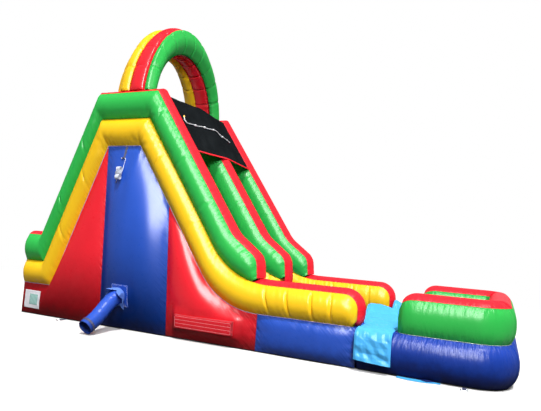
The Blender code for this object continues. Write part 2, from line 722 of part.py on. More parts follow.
def build_body():
    """Ground sheet, and the three slabs that carry the climb, the deck and the slide."""
    half = HALF_WIDTH - PANEL_THICKNESS - GAP
    floor = SHEET_THICKNESS + GAP
    box("ground_sheet", (REAR_X, -HALF_WIDTH, 0), (SLIDE_END_X, HALF_WIDTH, SHEET_THICKNESS), "ground_vinyl")
    whole = np.vstack([BODY_RAIL, [[SLIDE_END_X, BED_HEIGHT]]])
    tops = [tuple(p) for p in shifted(whole, -GAP)]
    unders = [tuple(p) for p in shifted(whole, -SLAB_THICKNESS)]
    rear_inner_x = REAR_X + SLAB_THICKNESS
    end_inner_x = SLIDE_END_X - SLAB_THICKNESS
    ramp = [(REAR_X, floor), *tops[: DECK_REAR + 1], *unders[DECK_REAR:0:-1]]
    ramp += [(rear_inner_x, unders[0][1]), (rear_inner_x, floor)]
    prism("climb_ramp", ramp, -half, half, "blue_vinyl")
    deck = tops[DECK_REAR : DECK_FRONT + 1] + unders[DECK_REAR : DECK_FRONT + 1][::-1]
    middle = (deck[0][0] + deck[1][0]) / 2
    deck = [(x + math.copysign(2 * GAP, middle - x), z) for x, z in deck]
    prism("deck_platform", deck, -half, half, "blue_vinyl")
    bed = tops[DECK_FRONT:] + [(SLIDE_END_X, floor), (end_inner_x, floor), (end_inner_x, unders[-1][1])]
    bed += unders[DECK_FRONT:-1][::-1]
    prism("slide_bed", bed, -half, half, "blue_vinyl")
    build_baffles(unders, half, floor)
    build_rungs()


def build_baffles(unders, half, floor):
    """Two fabric walls inside the tower, at the seams of the centre panels, each with two air ports."""
    line = np.array(unders)
    places = (
        ("rear_baffle", CENTRE_SEAM_REAR_X, line[DECK_REAR][0] + BAFFLE_THICKNESS),
        ("front_baffle", CENTRE_SEAM_FRONT_X - BAFFLE_THICKNESS, line[CENTRE_SEAM][0]),
    )
    for name, bottom_x, top_x in places:
        outline = [(bottom_x, floor), (bottom_x + BAFFLE_THICKNESS, floor)]
        for x in (top_x + BAFFLE_THICKNESS, top_x):
            outline.append((x, np.interp(x, line[:, 0], line[:, 1]) - 2 * GAP))
        baffle = prism(name, outline, -half, half, "blue_vinyl")
        for side in (-1, 1):
            port = round_bar(
                f"{name}_port_{side}",
                (bottom_x - 2 * CUT_OVERRUN, side * BAFFLE_PORT_Y, BAFFLE_PORT_Z),
                (top_x + 6 * CUT_OVERRUN, side * BAFFLE_PORT_Y, BAFFLE_PORT_Z),
                BAFFLE_PORT_RADIUS,
                "blue_vinyl",
                16,
            )
            cut(baffle, port)


def build_rungs():
    """The flight of soft rungs that is climbed, one blanket with a roll for each step."""
    toe, top = BODY_RAIL[REAR_TOE], BODY_RAIL[DECK_REAR]
    along = unit(top - toe)
    out = np.array([-along[1], along[0]])
    length = np.linalg.norm(top - toe)
    pitch = length / RUNG_COUNT
    outline = [toe + out * GAP, toe + out * RUNG_BASE]
    for i in range(RUNG_COUNT):
        for k in range(1, RUNG_POINTS):
            angle = math.pi * k / RUNG_POINTS
            at = (i + (1 - math.cos(angle)) / 2) * pitch
            stand = RUNG_BASE + (RUNG_HEIGHT - RUNG_BASE) * math.sin(angle)
            outline.append(toe + along * at + out * stand)
        outline.append(toe + along * (i + 1) * pitch + out * RUNG_BASE)
    outline.append(top + out * GAP)
    half = INNER_Y - RUNG_SIDE_CLEARANCE
    prism("climbing_rungs", [tuple(p) for p in outline], -half, half, "yellow_vinyl")


# Round bars and tubes


def frame_of(axis):
    """Two directions square to an axis."""
    axis = Vector(axis).normalized()
    first = axis.orthogonal().normalized()
    return first, axis.cross(first)


def round_bar(name, start, end, radius, finish, sides=12, origin=(0.0, 0.0, 0.0)):
    return turned(name, start, end, ((0.0, radius), (1.0, radius)), finish, sides, origin)


def turned(name, start, end, profile, finish, sides=12, origin=(0.0, 0.0, 0.0)):
    """A turned piece from start to end: its profile gives shares of the length with their radii."""
    start, end = Vector(start), Vector(end)
    first, second = frame_of(end - start)
    rings = []
    for share, radius in profile:
        centre = start + (end - start) * share
        ring = []
        for k in range(sides):
            angle = 2 * math.pi * k / sides
            ring.append(tuple(centre + (first * math.cos(angle) + second * math.sin(angle)) * radius))
        rings.append(ring)
    return loft(name, rings, finish, origin=origin)


def tube(name, points, radius, finish, resolution=2, cyclic=False, origin=(0.0, 0.0, 0.0)):
    """A cord or wire: a round tube through its points."""
    curve = bpy.data.curves.new(name, "CURVE")
    curve.dimensions = "3D"
    spline = curve.splines.new("POLY")
    spline.points.add(len(points) - 1)
    for at, point in zip(spline.points, points):
        at.co = (*(Vector(point) - Vector(origin)), 1.0)
    spline.use_cyclic_u = cyclic
    curve.bevel_depth = radius
    curve.bevel_resolution = resolution
    curve.use_fill_caps = True
    obj = bpy.data.objects.new(name, curve)
    obj.location = origin
    return place(obj, finish)


def smooth_route(points, spacing):
    """Evenly spaced points on a smooth curve through the route's own points."""
    points = np.array(points, float)
    padded = np.vstack([2 * points[0] - points[1], points, 2 * points[-1] - points[-2]])
    dense = []
    for i in range(1, len(padded) - 2):
        p0, p1, p2, p3 = padded[i - 1 : i + 3]
        for t in np.linspace(0, 1, 12, endpoint=False):
            straight = 2 * p1 + (p2 - p0) * t
            bend = (2 * p0 - 5 * p1 + 4 * p2 - p3) * t**2 + (3 * p1 - p0 - 3 * p2 + p3) * t**3
            dense.append((straight + bend) / 2)
    dense.append(points[-1])
    dense = np.array(dense)
    length = np.linalg.norm(np.diff(dense, axis=0), axis=1).sum()
    return resample(dense, max(2, round(length / spacing)))


def route_length(points):
    return float(np.linalg.norm(np.diff(np.array(points), axis=0), axis=1).sum())


def ribbon(name, path, thickness, to_world, low, high, finish):
    """A strap: a line in a plane, given its thickness, carried from low to high across the plane."""
    path = np.array(path, float)
    outline = np.vstack([shifted(path, thickness / 2), shifted(path, -thickness / 2)[::-1]])
    return loft(name, [[to_world(at, u, v) for u, v in outline] for at in (low, high)], finish)


# Arch over the deck


def build_arch():
    """Three tubes side by side. Each foot stands on the crown of a wall cap."""
    foot_z = WALL_TOP + CREST
    deep = ARCH_HALF_WIDTH - ARCH_INNER_HALF_WIDTH
    tubes = (
        ("arch_green_tube", ARCH_FRONT_SEAM_X + GAP, ARCH_FRONT_EDGE_X, ARCH_FRONT_BULGE, "green_vinyl"),
        ("arch_red_tube", ARCH_REAR_SEAM_X, ARCH_FRONT_SEAM_X, 0.0, "red_vinyl"),
        ("arch_yellow_tube", ARCH_REAR_SEAM_X - GAP, ARCH_REAR_EDGE_X, -ARCH_REAR_BULGE, "yellow_vinyl"),
    )
    for name, seam_x, edge_x, end_bulge, finish in tubes:
        width = abs(edge_x - seam_x) + abs(end_bulge)
        arcs = [(s, 4 * s * (1 - s)) for s in BULGE_SHARES]
        inward = ARCH_INNER_BULGE_SHARE * width / deep
        outward = ARCH_OUTER_BULGE_SHARE * width / deep
        turned_in = ARCH_EDGE_SHARE if end_bulge else 0.0
        section = [(seam_x, 0.0)]
        section += [(seam_x + (edge_x - seam_x) * s, turned_in * s - inward * arc) for s, arc in arcs]
        section.append((edge_x, turned_in))
        if end_bulge:
            section += [(edge_x + end_bulge * arc, turned_in + (1 - 2 * turned_in) * s) for s, arc in arcs]
        section.append((edge_x, 1 - turned_in))
        for s, arc in arcs:
            section.append((edge_x + (seam_x - edge_x) * s, 1 - turned_in * (1 - s) + outward * arc))
        section.append((seam_x, 1.0))
        rings = []
        for k in range(ARCH_STEPS + 1):
            ring = []
            for x, share in section:
                across = ARCH_INNER_HALF_WIDTH + deep * share
                rise = ARCH_INNER_RISE + (ARCH_RISE - ARCH_INNER_RISE) * share
                start = math.asin((foot_z - ARCH_CENTRE_Z) / rise)
                angle = start + (math.pi - 2 * start) * k / ARCH_STEPS
                ring.append((x, -across * math.cos(angle), ARCH_CENTRE_Z + rise * math.sin(angle)))
            rings.append(ring)
        loft(name, rings, finish)


# Shade net over the head of the slope, and the spray hose on it

NET_CREST_Y = DIVIDER_THICKNESS * (0.5 - CROWN_SHARES[1])


def net_rise(y):
    """Height of the net's underside over the walls' top seams: it lies on the divider and dips beside it."""
    places = [0.0, NET_CREST_Y, NET_MID_Y, INNER_Y - GAP]
    return float(np.interp(abs(y), places, [CREST, CREST, NET_MID_RISE, NET_EDGE_RISE]))


def on_net(down, y, height):
    """A point by its distance down the slope, its y, and its height over the top seams."""
    x = DECK_FRONT_X + down * math.cos(FRONT_SLOPE) + height * math.sin(FRONT_SLOPE)
    return (x, y, WALL_TOP - down * math.sin(FRONT_SLOPE) + height * math.cos(FRONT_SLOPE))


def net_band(name, start, length, thickness, steps, finish):
    half = INNER_Y - GAP
    across = [-half, -NET_MID_Y, -NET_CREST_Y, NET_CREST_Y, NET_MID_Y, half]
    rings = []
    for down in np.linspace(start, start + length, steps + 1):
        ring = [on_net(down, y, net_rise(y)) for y in across]
        ring += [on_net(down, y, net_rise(y) + thickness) for y in across[::-1]]
        rings.append(ring)
    loft(name, rings, finish)


def build_net_and_hose():
    net_band("shade_net", NET_START, NET_LENGTH, NET_THICKNESS, NET_STEPS, "shade_mesh")
    net_band("net_hem", NET_START + NET_LENGTH + GAP, HEM_WIDTH, HEM_THICKNESS, 1, "red_vinyl")
    radius = HOSE_DIAMETER / 2
    rest = NET_THICKNESS + radius + HOSE_LIFT
    stops = [(down * NET_LENGTH, y * INNER_Y, lift * HOSE_DIAMETER) for down, y, lift in HOSE_ROUTE_SHARES]
    plan = smooth_route(stops, HOSE_POINT_SPACING)
    route = np.array([on_net(down, y, net_rise(y) + rest + lift) for down, y, lift in plan])
    tube("spray_hose", route, radius, "hose_plastic")
    back = unit(route[0] - route[1])
    start = route[0] + back * GAP
    end = start + back * COUPLING_LENGTH
    turned("hose_coupling", start, end, COUPLING_PROFILE, "brass", COUPLING_SIDES, origin=tuple(start))
    print(f"spray hose {route_length(route):.3f} m")
    print("hose coupling axis", np.round(back, 4).tolist(), "at", np.round(start, 4).tolist())


# Tethers


def skin_tree(obj):
    """The faces of a panel, to find where its bulging skin is."""
    return BVHTree.FromPolygons([v.co for v in obj.data.vertices], [p.vertices for p in obj.data.polygons])


def skin_y(tree, side, x, z):
    """The y of a panel's skin at x and z, looking in from outside."""
    far = side * (HALF_WIDTH + CENTRE_PANEL_BULGE + CUT_OVERRUN)
    hit = tree.ray_cast(Vector((x, far, z)), Vector((0, -side, 0)))[0]
    return hit.y


def build_tether(word, side, core):
    """A webbing strap sewn under the deck seam. It ends in an eye that stands off the panel."""
    tree = skin_tree(core)
    top_z = BODY_RAIL[DECK_REAR][1] - STRAP_TOP_DROP
    thickness = TETHER_STRAP_THICKNESS
    path = []
    for z in np.linspace(top_z, top_z - TETHER_STRAP_LENGTH, STRAP_STEPS + 1):
        path.append((side * skin_y(tree, side, TETHER_X, z) + thickness / 2 - TETHER_STRAP_SINK, z))
    eye_r = EYE_RADIUS + thickness / 2
    last = np.array(path[-1])
    down = unit(last - np.array(path[-2]))
    out = np.array([-down[1], down[0]])
    centre = last + out * eye_r + down * eye_r
    for k in range(EYE_STEPS + 1):
        angle = EYE_STEP * k - math.pi / 2
        path.append(tuple(centre + out * eye_r * math.sin(angle) + down * eye_r * math.cos(angle)))
    low = TETHER_X - TETHER_STRAP_WIDTH / 2
    high = TETHER_X + TETHER_STRAP_WIDTH / 2

    def place(at, u, v):
        return (at, side * u, v)

    strap = ribbon(f"{word}_tether_strap", path, thickness, place, low, high, "navy_webbing")
    cut(strap, shifted_copy(core, side, GAP))
    print(f"{word} tether eye", np.round(centre, 4).tolist())
    return centre, tree


def build_rope(centre, tree):
    """The near tether's rope: through the strap's eye and down the panel, with the rest of it in a hank."""
    radius = ROPE_DIAMETER / 2
    side = -1
    z_top = centre[1] - EYE_RADIUS * math.cos(EYE_STEP / 2) + radius + GAP
    rope_x = TETHER_X + ROPE_BEND_START + ROPE_BEND_RADIUS
    hank_top = z_top - ROPE_DROP
    stand = radius + HANK_STANDOFF

    def out_of_panel(z):
        return max(side * skin_y(tree, side, x, z) for x in (rope_x, rope_x - HANK_TURNS * HANK_PITCH))

    upper = np.array([out_of_panel(hank_top), hank_top])
    lower = np.array([out_of_panel(hank_top - HANK_LENGTH), hank_top - HANK_LENGTH])
    down = unit(lower - upper)
    out = np.array([-down[1], down[0]])
    straight = HANK_LENGTH - 2 * HANK_FOLD_RADIUS
    loop = hank_loop(straight)
    last_run = int((loop[: HANK_TURN_POINTS // 2, 1] < straight).sum())
    whole = HANK_TURNS * HANK_TURN_POINTS + last_run
    tail_drops = np.arange(straight, HANK_LENGTH - HANK_FOLD_RADIUS + HANK_TAIL, HANK_TAIL_SPACING)
    turns = []
    for i in range(whole + len(tail_drops)):
        depth, drop = loop[i % HANK_TURN_POINTS] if i < whole else (-HANK_FOLD_RADIUS, tail_drops[i - whole])
        at = upper + out * (stand + HANK_FOLD_RADIUS + depth) + down * (HANK_FOLD_RADIUS + drop)
        turns.append((rope_x - i * HANK_PITCH / HANK_TURN_POINTS, side * at[0], at[1]))
    turns = np.array(turns)
    least = least_gap(turns, ROPE_DIAMETER)
    tube("tether_hank", turns, radius, "white_rope", 1)
    lead = unit(turns[0] - turns[1])
    route = [(TETHER_X + reach, side * centre[0], z_top) for reach in (-ROPE_STUB, 0.0, ROPE_BEND_START)]
    for angle in ROPE_BEND_ANGLES:
        z = z_top - ROPE_BEND_RADIUS * (1 - math.cos(angle))
        share = angle / ROPE_BEND_ANGLES[-1]
        y = centre[0] + (out_of_panel(z) + stand - centre[0]) * share
        route.append((rope_x - ROPE_BEND_RADIUS * (1 - math.sin(angle)), side * y, z))
    for share in ROPE_DROP_SHARES:
        z = z_top - ROPE_DROP * share
        route.append((rope_x, side * (out_of_panel(z) + stand), z))
    route.append(turns[0] + lead * ROPE_DIAMETER)
    drop = np.vstack([smooth_route(route, ROPE_POINT_SPACING), turns[0] + lead * GAP])
    tube("tether_rope", drop, radius, "white_rope")
    tail = unit(turns[-1] - turns[-2])
    knot = turns[-1] + tail * GAP
    turned("rope_end_knot", knot, knot + tail * KNOT_LENGTH, KNOT_PROFILE, "navy_webbing", 10)
    print(f"tether rope {route_length(drop):.3f} m free, {route_length(turns):.3f} m in its hank")
    print(f"least gap in the hank {least * 1000:.2f} mm")


def hank_loop(straight):
    """One turn of the hank, as depth and drop from the upper fold's centre, evenly along it.

    It goes down the run beside the panel and comes up the outer one.
    """
    radius = HANK_FOLD_RADIUS
    dense = []
    for k in range(60):
        dense.append((-radius, straight * k / 60))
    for k in range(60):
        angle = math.pi * k / 60
        dense.append((-radius * math.cos(angle), straight + radius * math.sin(angle)))
    for k in range(60):
        dense.append((radius, straight * (1 - k / 60)))
    for k in range(60):
        angle = math.pi * k / 60
        dense.append((radius * math.cos(angle), -radius * math.sin(angle)))
    dense = np.array([*dense, dense[0]])
    pinch = 1 - (1 - HANK_WAIST_SHARE) * np.exp(-(((dense[:, 1] - straight / 2) / HANK_WAIST_LENGTH) ** 2))
    dense[:, 0] *= pinch
    return resample(dense, HANK_TURN_POINTS)[:-1]


def least_gap(points, diameter):
    """The least clear space between stretches of a tube that lie a few diameters apart along it."""
    spacing = np.linalg.norm(np.diff(points, axis=0), axis=1).mean()
    fine_points = resample(points, (len(points) - 1) * 4)
    skip = int(3 * diameter / (spacing / 4)) + 1
    least = math.inf
    for i in range(len(fine_points) - skip):
        away = np.linalg.norm(fine_points[i + skip :] - fine_points[i], axis=1)
        least = min(least, away.min())
    return least - diameter


# Ground anchors: a folded webbing strap with a steel ring


def build_anchor(word, side, x):
    thickness = ANCHOR_STRAP_THICKNESS
    eye_r = RING_WIRE_RADIUS + 2 * GAP
    centre_r = eye_r + thickness / 2
    eye_y = HALF_WIDTH + ANCHOR_STRAP_REACH
    eye_z = thickness + eye_r
    upper_z = thickness * 1.5 + ANCHOR_LAYER_GAP
    path = [(HALF_WIDTH + GAP, thickness / 2), (eye_y, thickness / 2)]
    for k in range(1, 9):
        angle = math.radians(-90 + 25 * k)
        path.append((eye_y + centre_r * math.cos(angle), eye_z + centre_r * math.sin(angle)))
    fold = path[-1]
    path.append((fold[0] - centre_r * 1.5, (fold[1] + upper_z) / 2))
    path.append((fold[0] - centre_r * 3, upper_z))
    path.append((eye_y - ANCHOR_FOLD_BACK, upper_z))
    low = x - ANCHOR_STRAP_WIDTH / 2
    high = x + ANCHOR_STRAP_WIDTH / 2

    def place(at, u, v):
        return (at, side * u, v)

    ribbon(f"{word}_anchor_strap", path, thickness, place, low, high, "navy_webbing")
    half = RING_WIDTH / 2
    reach = RING_DEPTH
    tilt = math.asin((eye_z - RING_WIRE_RADIUS - GAP) / reach)
    flat = trace(
        [(0, 0), (half, 0), (half, reach), (-half, reach), (-half, 0), (0, 0)],
        [RING_CORNER_RADIUS] * 4,
        math.radians(30),
    )
    wire = []
    for u, v in flat[:-1]:
        wire.append((x + u, side * (eye_y + v * math.cos(tilt)), eye_z - v * math.sin(tilt)))
    tube(
        f"{word}_anchor_ring", wire, RING_WIRE_RADIUS, "galvanised_steel", 1, cyclic=True,
        origin=(x, side * eye_y, eye_z),
    )


# Near side fittings on the panels


def build_sleeve(core):
    """The inflation sleeve: a soft tube from the panel to the ground, with its mouth open."""
    tree = skin_tree(core)
    side = -1
    half = SLEEVE_PATCH_SIDE / 2
    x0, x1 = SLEEVE_X - half, SLEEVE_X + half
    z0, z1 = SLEEVE_ROOT_Z - half, SLEEVE_ROOT_Z + half
    square = [(x0, z0), (x1, z0), (x1, z1), (x0, z1)]
    layer("sleeve_patch", square, core, side, GAP, SLEEVE_PATCH_THICKNESS, "blue_vinyl")
    seat = SLEEVE_PATCH_THICKNESS + 2 * GAP
    root_y = -side * skin_y(tree, side, SLEEVE_X, SLEEVE_ROOT_Z)
    rest_z = SLEEVE_RADIUS * SLEEVE_REST_SHARE
    path = []
    for run, drop in zip(SLEEVE_RUN_SHARES, SLEEVE_DROP_SHARES):
        z = rest_z + (SLEEVE_ROOT_Z - rest_z) * drop
        path.append((SLEEVE_X - SLEEVE_DRIFT * run, -abs(root_y) + SLEEVE_SINK - SLEEVE_REACH * run, z))
    path = smooth_route(path, SLEEVE_REACH / SLEEVE_STEPS)
    outer = sleeve_rings(path, SLEEVE_RADIUS)
    inner = sleeve_rings(path, SLEEVE_RADIUS - SLEEVE_WALL)
    sleeve = loft("inflation_sleeve", outer + inner[:SLEEVE_CLOSED_STEPS:-1], "blue_vinyl")
    cut(sleeve, shifted_copy(core, side, seat))
    build_collar(path, core, seat)
    at = round(len(path) * SLEEVE_STRAP_SHARE)
    centre, ahead = path[at], unit(path[at + 1] - path[at - 1])
    band = []
    for offset in (-SLEEVE_STRAP_WIDTH / 2, SLEEVE_STRAP_WIDTH / 2):
        band.append(centre + ahead * offset)
    inner_r = SLEEVE_RADIUS + 2 * GAP
    outer_r = inner_r + SLEEVE_STRAP_THICKNESS
    tangent = [ahead, ahead]
    low_in, high_in = rings_at(band, tangent, inner_r)
    low_out, high_out = rings_at(band, tangent, outer_r)
    loft("sleeve_strap", [low_in, low_out, high_out, high_in], "navy_webbing", joined=True)


def rings_at(centres, tangents, radius):
    rings = []
    for centre, ahead in zip(centres, tangents):
        across = unit(np.cross(ahead, (0, 0, 1)))
        up = np.cross(across, ahead)
        ring = []
        for k in range(SLEEVE_SIDES):
            angle = 2 * math.pi * k / SLEEVE_SIDES
            ring.append(tuple(centre + across * radius * math.cos(angle) + up * radius * math.sin(angle)))
        rings.append(ring)
    return rings


def sleeve_rings(path, radius):
    tangents = [unit(path[min(i + 1, len(path) - 1)] - path[max(i - 1, 0)]) for i in range(len(path))]
    tangents[0] = np.array([0.0, -1.0, 0.0])
    return rings_at(path, tangents, radius)


def build_collar(path, core, seat):
    """The light cuff sewn round the sleeve's root, flared open in soft folds."""
    start = SLEEVE_RADIUS + 2 * GAP
    directions = [np.array(ring) - at for ring, at in zip(sleeve_rings(path, 1.0), path)]
    angles = 2 * math.pi * np.arange(SLEEVE_SIDES) / SLEEVE_SIDES
    folds = COLLAR_FLARE * (1 + COLLAR_FOLD_SHARE * np.cos(COLLAR_FOLDS * angles))
    inner, outer = [], []
    for at, spokes, flare_share in zip(path, directions, COLLAR_FLARE_SHARES):
        for rings, lift in ((inner, 0.0), (outer, COLLAR_THICKNESS)):
            rings.append(at + spokes * (start + folds * flare_share + lift)[:, None])
    collar = loft("sleeve_collar", inner + outer[::-1], "light_blue_vinyl", joined=True)
    cut(collar, shifted_copy(core, -1, seat))


def build_zip(core):
    """The deflation zip: its tape with the closed teeth, the slider that runs along them, and a cover flap.

    Its outlines are drawn in a plane that leans with the panel: up along it, and out from it.
    """
    tree = skin_tree(core)
    middle_x = (ZIP_REAR_X + ZIP_FRONT_X) / 2
    low = np.array([-skin_y(tree, -1, middle_x, ZIP_LOW_Z), ZIP_LOW_Z])
    high = np.array([-skin_y(tree, -1, middle_x, ZIP_HIGH_Z), ZIP_HIGH_Z])
    up = unit(high - low)
    out = np.array([up[1], -up[0]])
    height = float(np.linalg.norm(high - low))
    face = 0.0
    for x in np.linspace(ZIP_REAR_X, ZIP_FRONT_X, 12):
        for z in np.linspace(ZIP_LOW_Z, ZIP_HIGH_Z, 7):
            face = max(face, float((np.array([-skin_y(tree, -1, x, z), z]) - low) @ out))

    def bars(name, rear_x, front_x, outline, finish, origin=(0.0, 0.0, 0.0)):
        rings = []
        for x in (rear_x, front_x):
            corners = [low + up * along + out * (face + stand) for along, stand in outline]
            rings.append([(x, -y, z) for y, z in corners])
        return loft(name, rings, finish, origin=origin)

    def world(x, along, stand):
        y, z = low + up * along + out * (face + stand)
        return (x, -float(y), float(z))

    flat = ZIP_FACE
    half = ZIP_TEETH_WIDTH / 2
    rib = height - ZIP_RIB_WIDTH
    middle = rib / 2
    teeth = flat + ZIP_TEETH_HEIGHT
    top = flat + ZIP_RIB_HEIGHT
    outline = [(0, -ZIP_SINK), (0, flat), (middle - half, flat), (middle - half, teeth)]
    outline += [(middle + half, teeth), (middle + half, flat), (rib, flat), (rib, top)]
    outline += [(height, top), (height, -ZIP_SINK)]
    tape = bars("zip_tape", ZIP_REAR_X, ZIP_FRONT_X, outline, "navy_webbing")
    cut(tape, shifted_copy(core, -1, GAP))
    run = half + SWING_GAP
    wide = SLIDER_WIDTH / 2
    foot = flat + SLIDER_CLEARANCE
    roof = teeth + SLIDER_CLEARANCE
    crest = roof + SLIDER_HEIGHT
    outline = [(-wide, foot), (-wide, crest), (wide, crest), (wide, foot)]
    outline += [(run, foot), (run, roof), (-run, roof), (-run, foot)]
    outline = [(middle + along, stand) for along, stand in outline]
    rear_x = ZIP_REAR_X + ZIP_MARGIN
    start = world(rear_x + SLIDER_LENGTH / 2, middle, roof)
    bars("zip_slider", rear_x, rear_x + SLIDER_LENGTH, outline, "galvanised_steel", start)
    near = top + GAP
    far = near + FLAP_THICKNESS
    hinge = world(middle_x, height, (near + far) / 2)
    outline = [(0, near), (0, far), (height, far), (height, near)]
    bars("zip_flap", ZIP_REAR_X, ZIP_FRONT_X, outline, "red_vinyl", hinge)
    slide = ZIP_FRONT_X - ZIP_REAR_X - 2 * ZIP_MARGIN - SLIDER_LENGTH
    print("zip flap hinge", np.round(hinge, 5).tolist())
    print("zip slider", np.round(start, 5).tolist(), "runs", round(slide, 4))


def build_pocket(core):
    low, high = POCKET_LOW_Z, POCKET_HIGH_Z
    outline = [(POCKET_REAR_X, low), (POCKET_FRONT_X, low), (POCKET_FRONT_X, high), (POCKET_REAR_X, high)]
    layer("document_pocket", outline, core, -1, GAP, POCKET_THICKNESS, "pocket_vinyl")


# Splash pool


def plan_line(rear_x, front_x, half_width, radius, rear_radius=None):
    """A line round the pool: open at the slide, or closed there when a rear radius is given."""
    line = [(rear_x, -half_width), (front_x, -half_width), (front_x, half_width), (rear_x, half_width)]
    step = math.pi / 2 / POOL_ARC_STEPS
    if rear_radius is None:
        return trace(line, (radius, radius), step)
    around = [(rear_x, 0.0), *line, (rear_x, 0.0)]
    return trace(around, (rear_radius, radius, radius, rear_radius), step)[:-1]


def pool_section(outer, inner, low_z, high_z, outer_bulge, inner_bulge):
    """A tube's section between its outer and inner plan points, bulging at both sides."""
    away = unit(outer - inner)
    ring = [(*inner, low_z), (*outer, low_z)]
    for share in BULGE_SHARES:
        swell = 4 * share * (1 - share) * outer_bulge
        ring.append((*(outer + away * swell), low_z + (high_z - low_z) * share))
    ring += [(*outer, high_z), (*inner, high_z)]
    for share in reversed(BULGE_SHARES):
        swell = 4 * share * (1 - share) * inner_bulge
        ring.append((*(inner - away * swell), low_z + (high_z - low_z) * share))
    return ring


def build_pool():
    rear_x = SLIDE_END_X + GAP
    floor_z = SHEET_THICKNESS + GAP
    rim = plan_line(rear_x, POOL_FRONT_X, HALF_WIDTH, POOL_FRONT_RADIUS, POOL_REAR_RADIUS)
    loft("pool_floor", [[(x, y, z) for x, y in rim] for z in (0.0, SHEET_THICKNESS)], "ground_vinyl")
    width = POOL_BASE_WIDTH
    inner = plan_line(
        rear_x + width, POOL_FRONT_X - width, HALF_WIDTH - width, POOL_INNER_RADIUS, POOL_INNER_RADIUS
    )
    rings = []
    for a, b in zip(rim, inner):
        facing_slide = a[0] < rear_x + POOL_REAR_RADIUS - GAP
        bulge = 0.0 if facing_slide else POOL_BASE_BULGE
        rings.append(pool_section(a, b, floor_z, POOL_BASE_HEIGHT, bulge, POOL_BASIN_BULGE))
    loft("pool_base_tube", rings, "blue_vinyl", joined=True)
    outer, inner = wall_lines()
    drops = [*POOL_END_DROP_SHARES, *[0.0] * (len(outer) - 2 * len(POOL_END_DROP_SHARES))]
    drops += POOL_END_DROP_SHARES[::-1]
    base_z = POOL_BASE_HEIGHT + GAP
    rings = []
    for a, b, drop in zip(outer, inner, drops):
        bulge = POOL_WALL_BULGE * np.linalg.norm(a - b) / WALL_THICKNESS
        rings.append(pool_section(a, b, base_z, POOL_WALL_TOP - POOL_END_DROP * drop, bulge, bulge))
    loft("pool_wall_tube", rings, "green_vinyl")
    rings = []
    for a, b, drop in zip(outer, inner, drops):
        top_z = POOL_WALL_TOP - POOL_END_DROP * drop + GAP
        crown = POOL_CROWN * np.linalg.norm(a - b) / WALL_THICKNESS * (1 - POOL_END_CROWN_SHARE * drop)
        ring = [(*a, top_z), (*b, top_z)]
        for share in CROWN_SHARES:
            height = crown * (1 - abs(2 * share - 1) ** CROWN_POWER)
            ring.append((*(b + (a - b) * share), top_z + height))
        rings.append(ring)
    loft("pool_wall_cap", rings, "red_vinyl")


def wall_lines():
    """The pool wall's outer and inner seams, drawn together at the two rounded ends."""
    lines = []
    for inset, radius in ((0.0, POOL_FRONT_RADIUS), (WALL_THICKNESS, POOL_INNER_RADIUS)):
        line = plan_line(POOL_WALL_REAR_X, POOL_FRONT_X - inset, HALF_WIDTH - inset, radius)
        start = [line[0] + np.array([POOL_END_LENGTH * s, 0.0]) for s in POOL_END_LENGTH_SHARES]
        end = [line[-1] + np.array([POOL_END_LENGTH * s, 0.0]) for s in POOL_END_LENGTH_SHARES[::-1]]
        lines.append(np.vstack([start, line[1:-1], end]))
    outer, inner = lines
    for i, share in enumerate(POOL_END_WIDTH_SHARES):
        for at in (i, -1 - i):
            middle = (outer[at] + inner[at]) / 2
            outer[at] = middle + (outer[at] - middle) * share
            inner[at] = middle + (inner[at] - middle) * share
    return outer, inner


def build_splash_sheet():
    """The light sheet over the joint: it hangs down the near side and is bunched up at the far wall."""
    rest_z = BED_HEIGHT + GAP
    hang_y = -(HALF_WIDTH + POOL_BASE_BULGE + SPLASH_HANG_STANDOFF)
    rings = []
    for k in range(SPLASH_STEPS + 1):
        along = k / SPLASH_STEPS
        settled = min(1.0, along / SPLASH_SETTLED_SHARE)
        sway = SPLASH_SWAY * (1 + math.sin(2 * math.pi * along * SPLASH_HANG_FOLDS))
        path = [
            (0.0, hang_y - sway, SPLASH_HANG_LOW_Z + SPLASH_HANG_SLANT * along),
            (0.0, hang_y - sway / 2, rest_z * SPLASH_HANG_SHARES[0]),
            (0.0, hang_y, rest_z * SPLASH_HANG_SHARES[1]),
        ]
        for y_share, fold, bunch in SPLASH_ACROSS_SHARES:
            ripple = 0.5 + 0.5 * math.sin(2 * math.pi * (along * SPLASH_TOP_FOLDS + y_share))
            lean = (1 - along) ** SPLASH_LEAN_POWER * bunch * (SPLASH_FAR_TOP_Z - rest_z)
            inset = SPLASH_FAR_INSET * min(1.0, bunch / SPLASH_INSET_BUNCH_SHARE)
            path.append((inset, HALF_WIDTH * y_share, rest_z + SPLASH_FOLD * fold * ripple * settled + lean))
        path = np.array(path)
        outline = np.vstack([path[:, 1:], shifted(path[:, 1:], SPLASH_THICKNESS)[::-1]])
        starts = SPLASH_REAR_X + np.concatenate([path[:, 0], path[::-1, 0]])
        rings.append([(x + (SPLASH_FRONT_X - x) * along, y, z) for x, (y, z) in zip(starts, outline)])
    loft("splash_sheet", rings, "light_blue_vinyl")
    near = -(HALF_WIDTH + GAP)
    box(
        "ground_apron",
        (APRON_REAR_X, near - APRON_REACH, 0.0),
        (APRON_FRONT_X, near, APRON_THICKNESS),
        "light_blue_vinyl",
    )


# The whole slide

build_body()
cores = {}
for word, side in (("right", -1), ("left", 1)):
    build_side_wall(word, side)
    cores[word] = build_panels(word, side)
    build_anchor(f"{word}_rear", side, ANCHOR_REAR_X)
    build_anchor(f"{word}_front", side, ANCHOR_FRONT_X)
build_divider()
build_arch()
build_net_and_hose()
eye, skin = build_tether("right", -1, cores["right"]["centre"])
build_rope(eye, skin)
build_tether("left", 1, cores["left"]["centre"])
build_sleeve(cores["right"]["centre"])
build_zip(cores["right"]["front"])
build_pocket(cores["right"]["rear"])
build_pool()
build_splash_sheet()
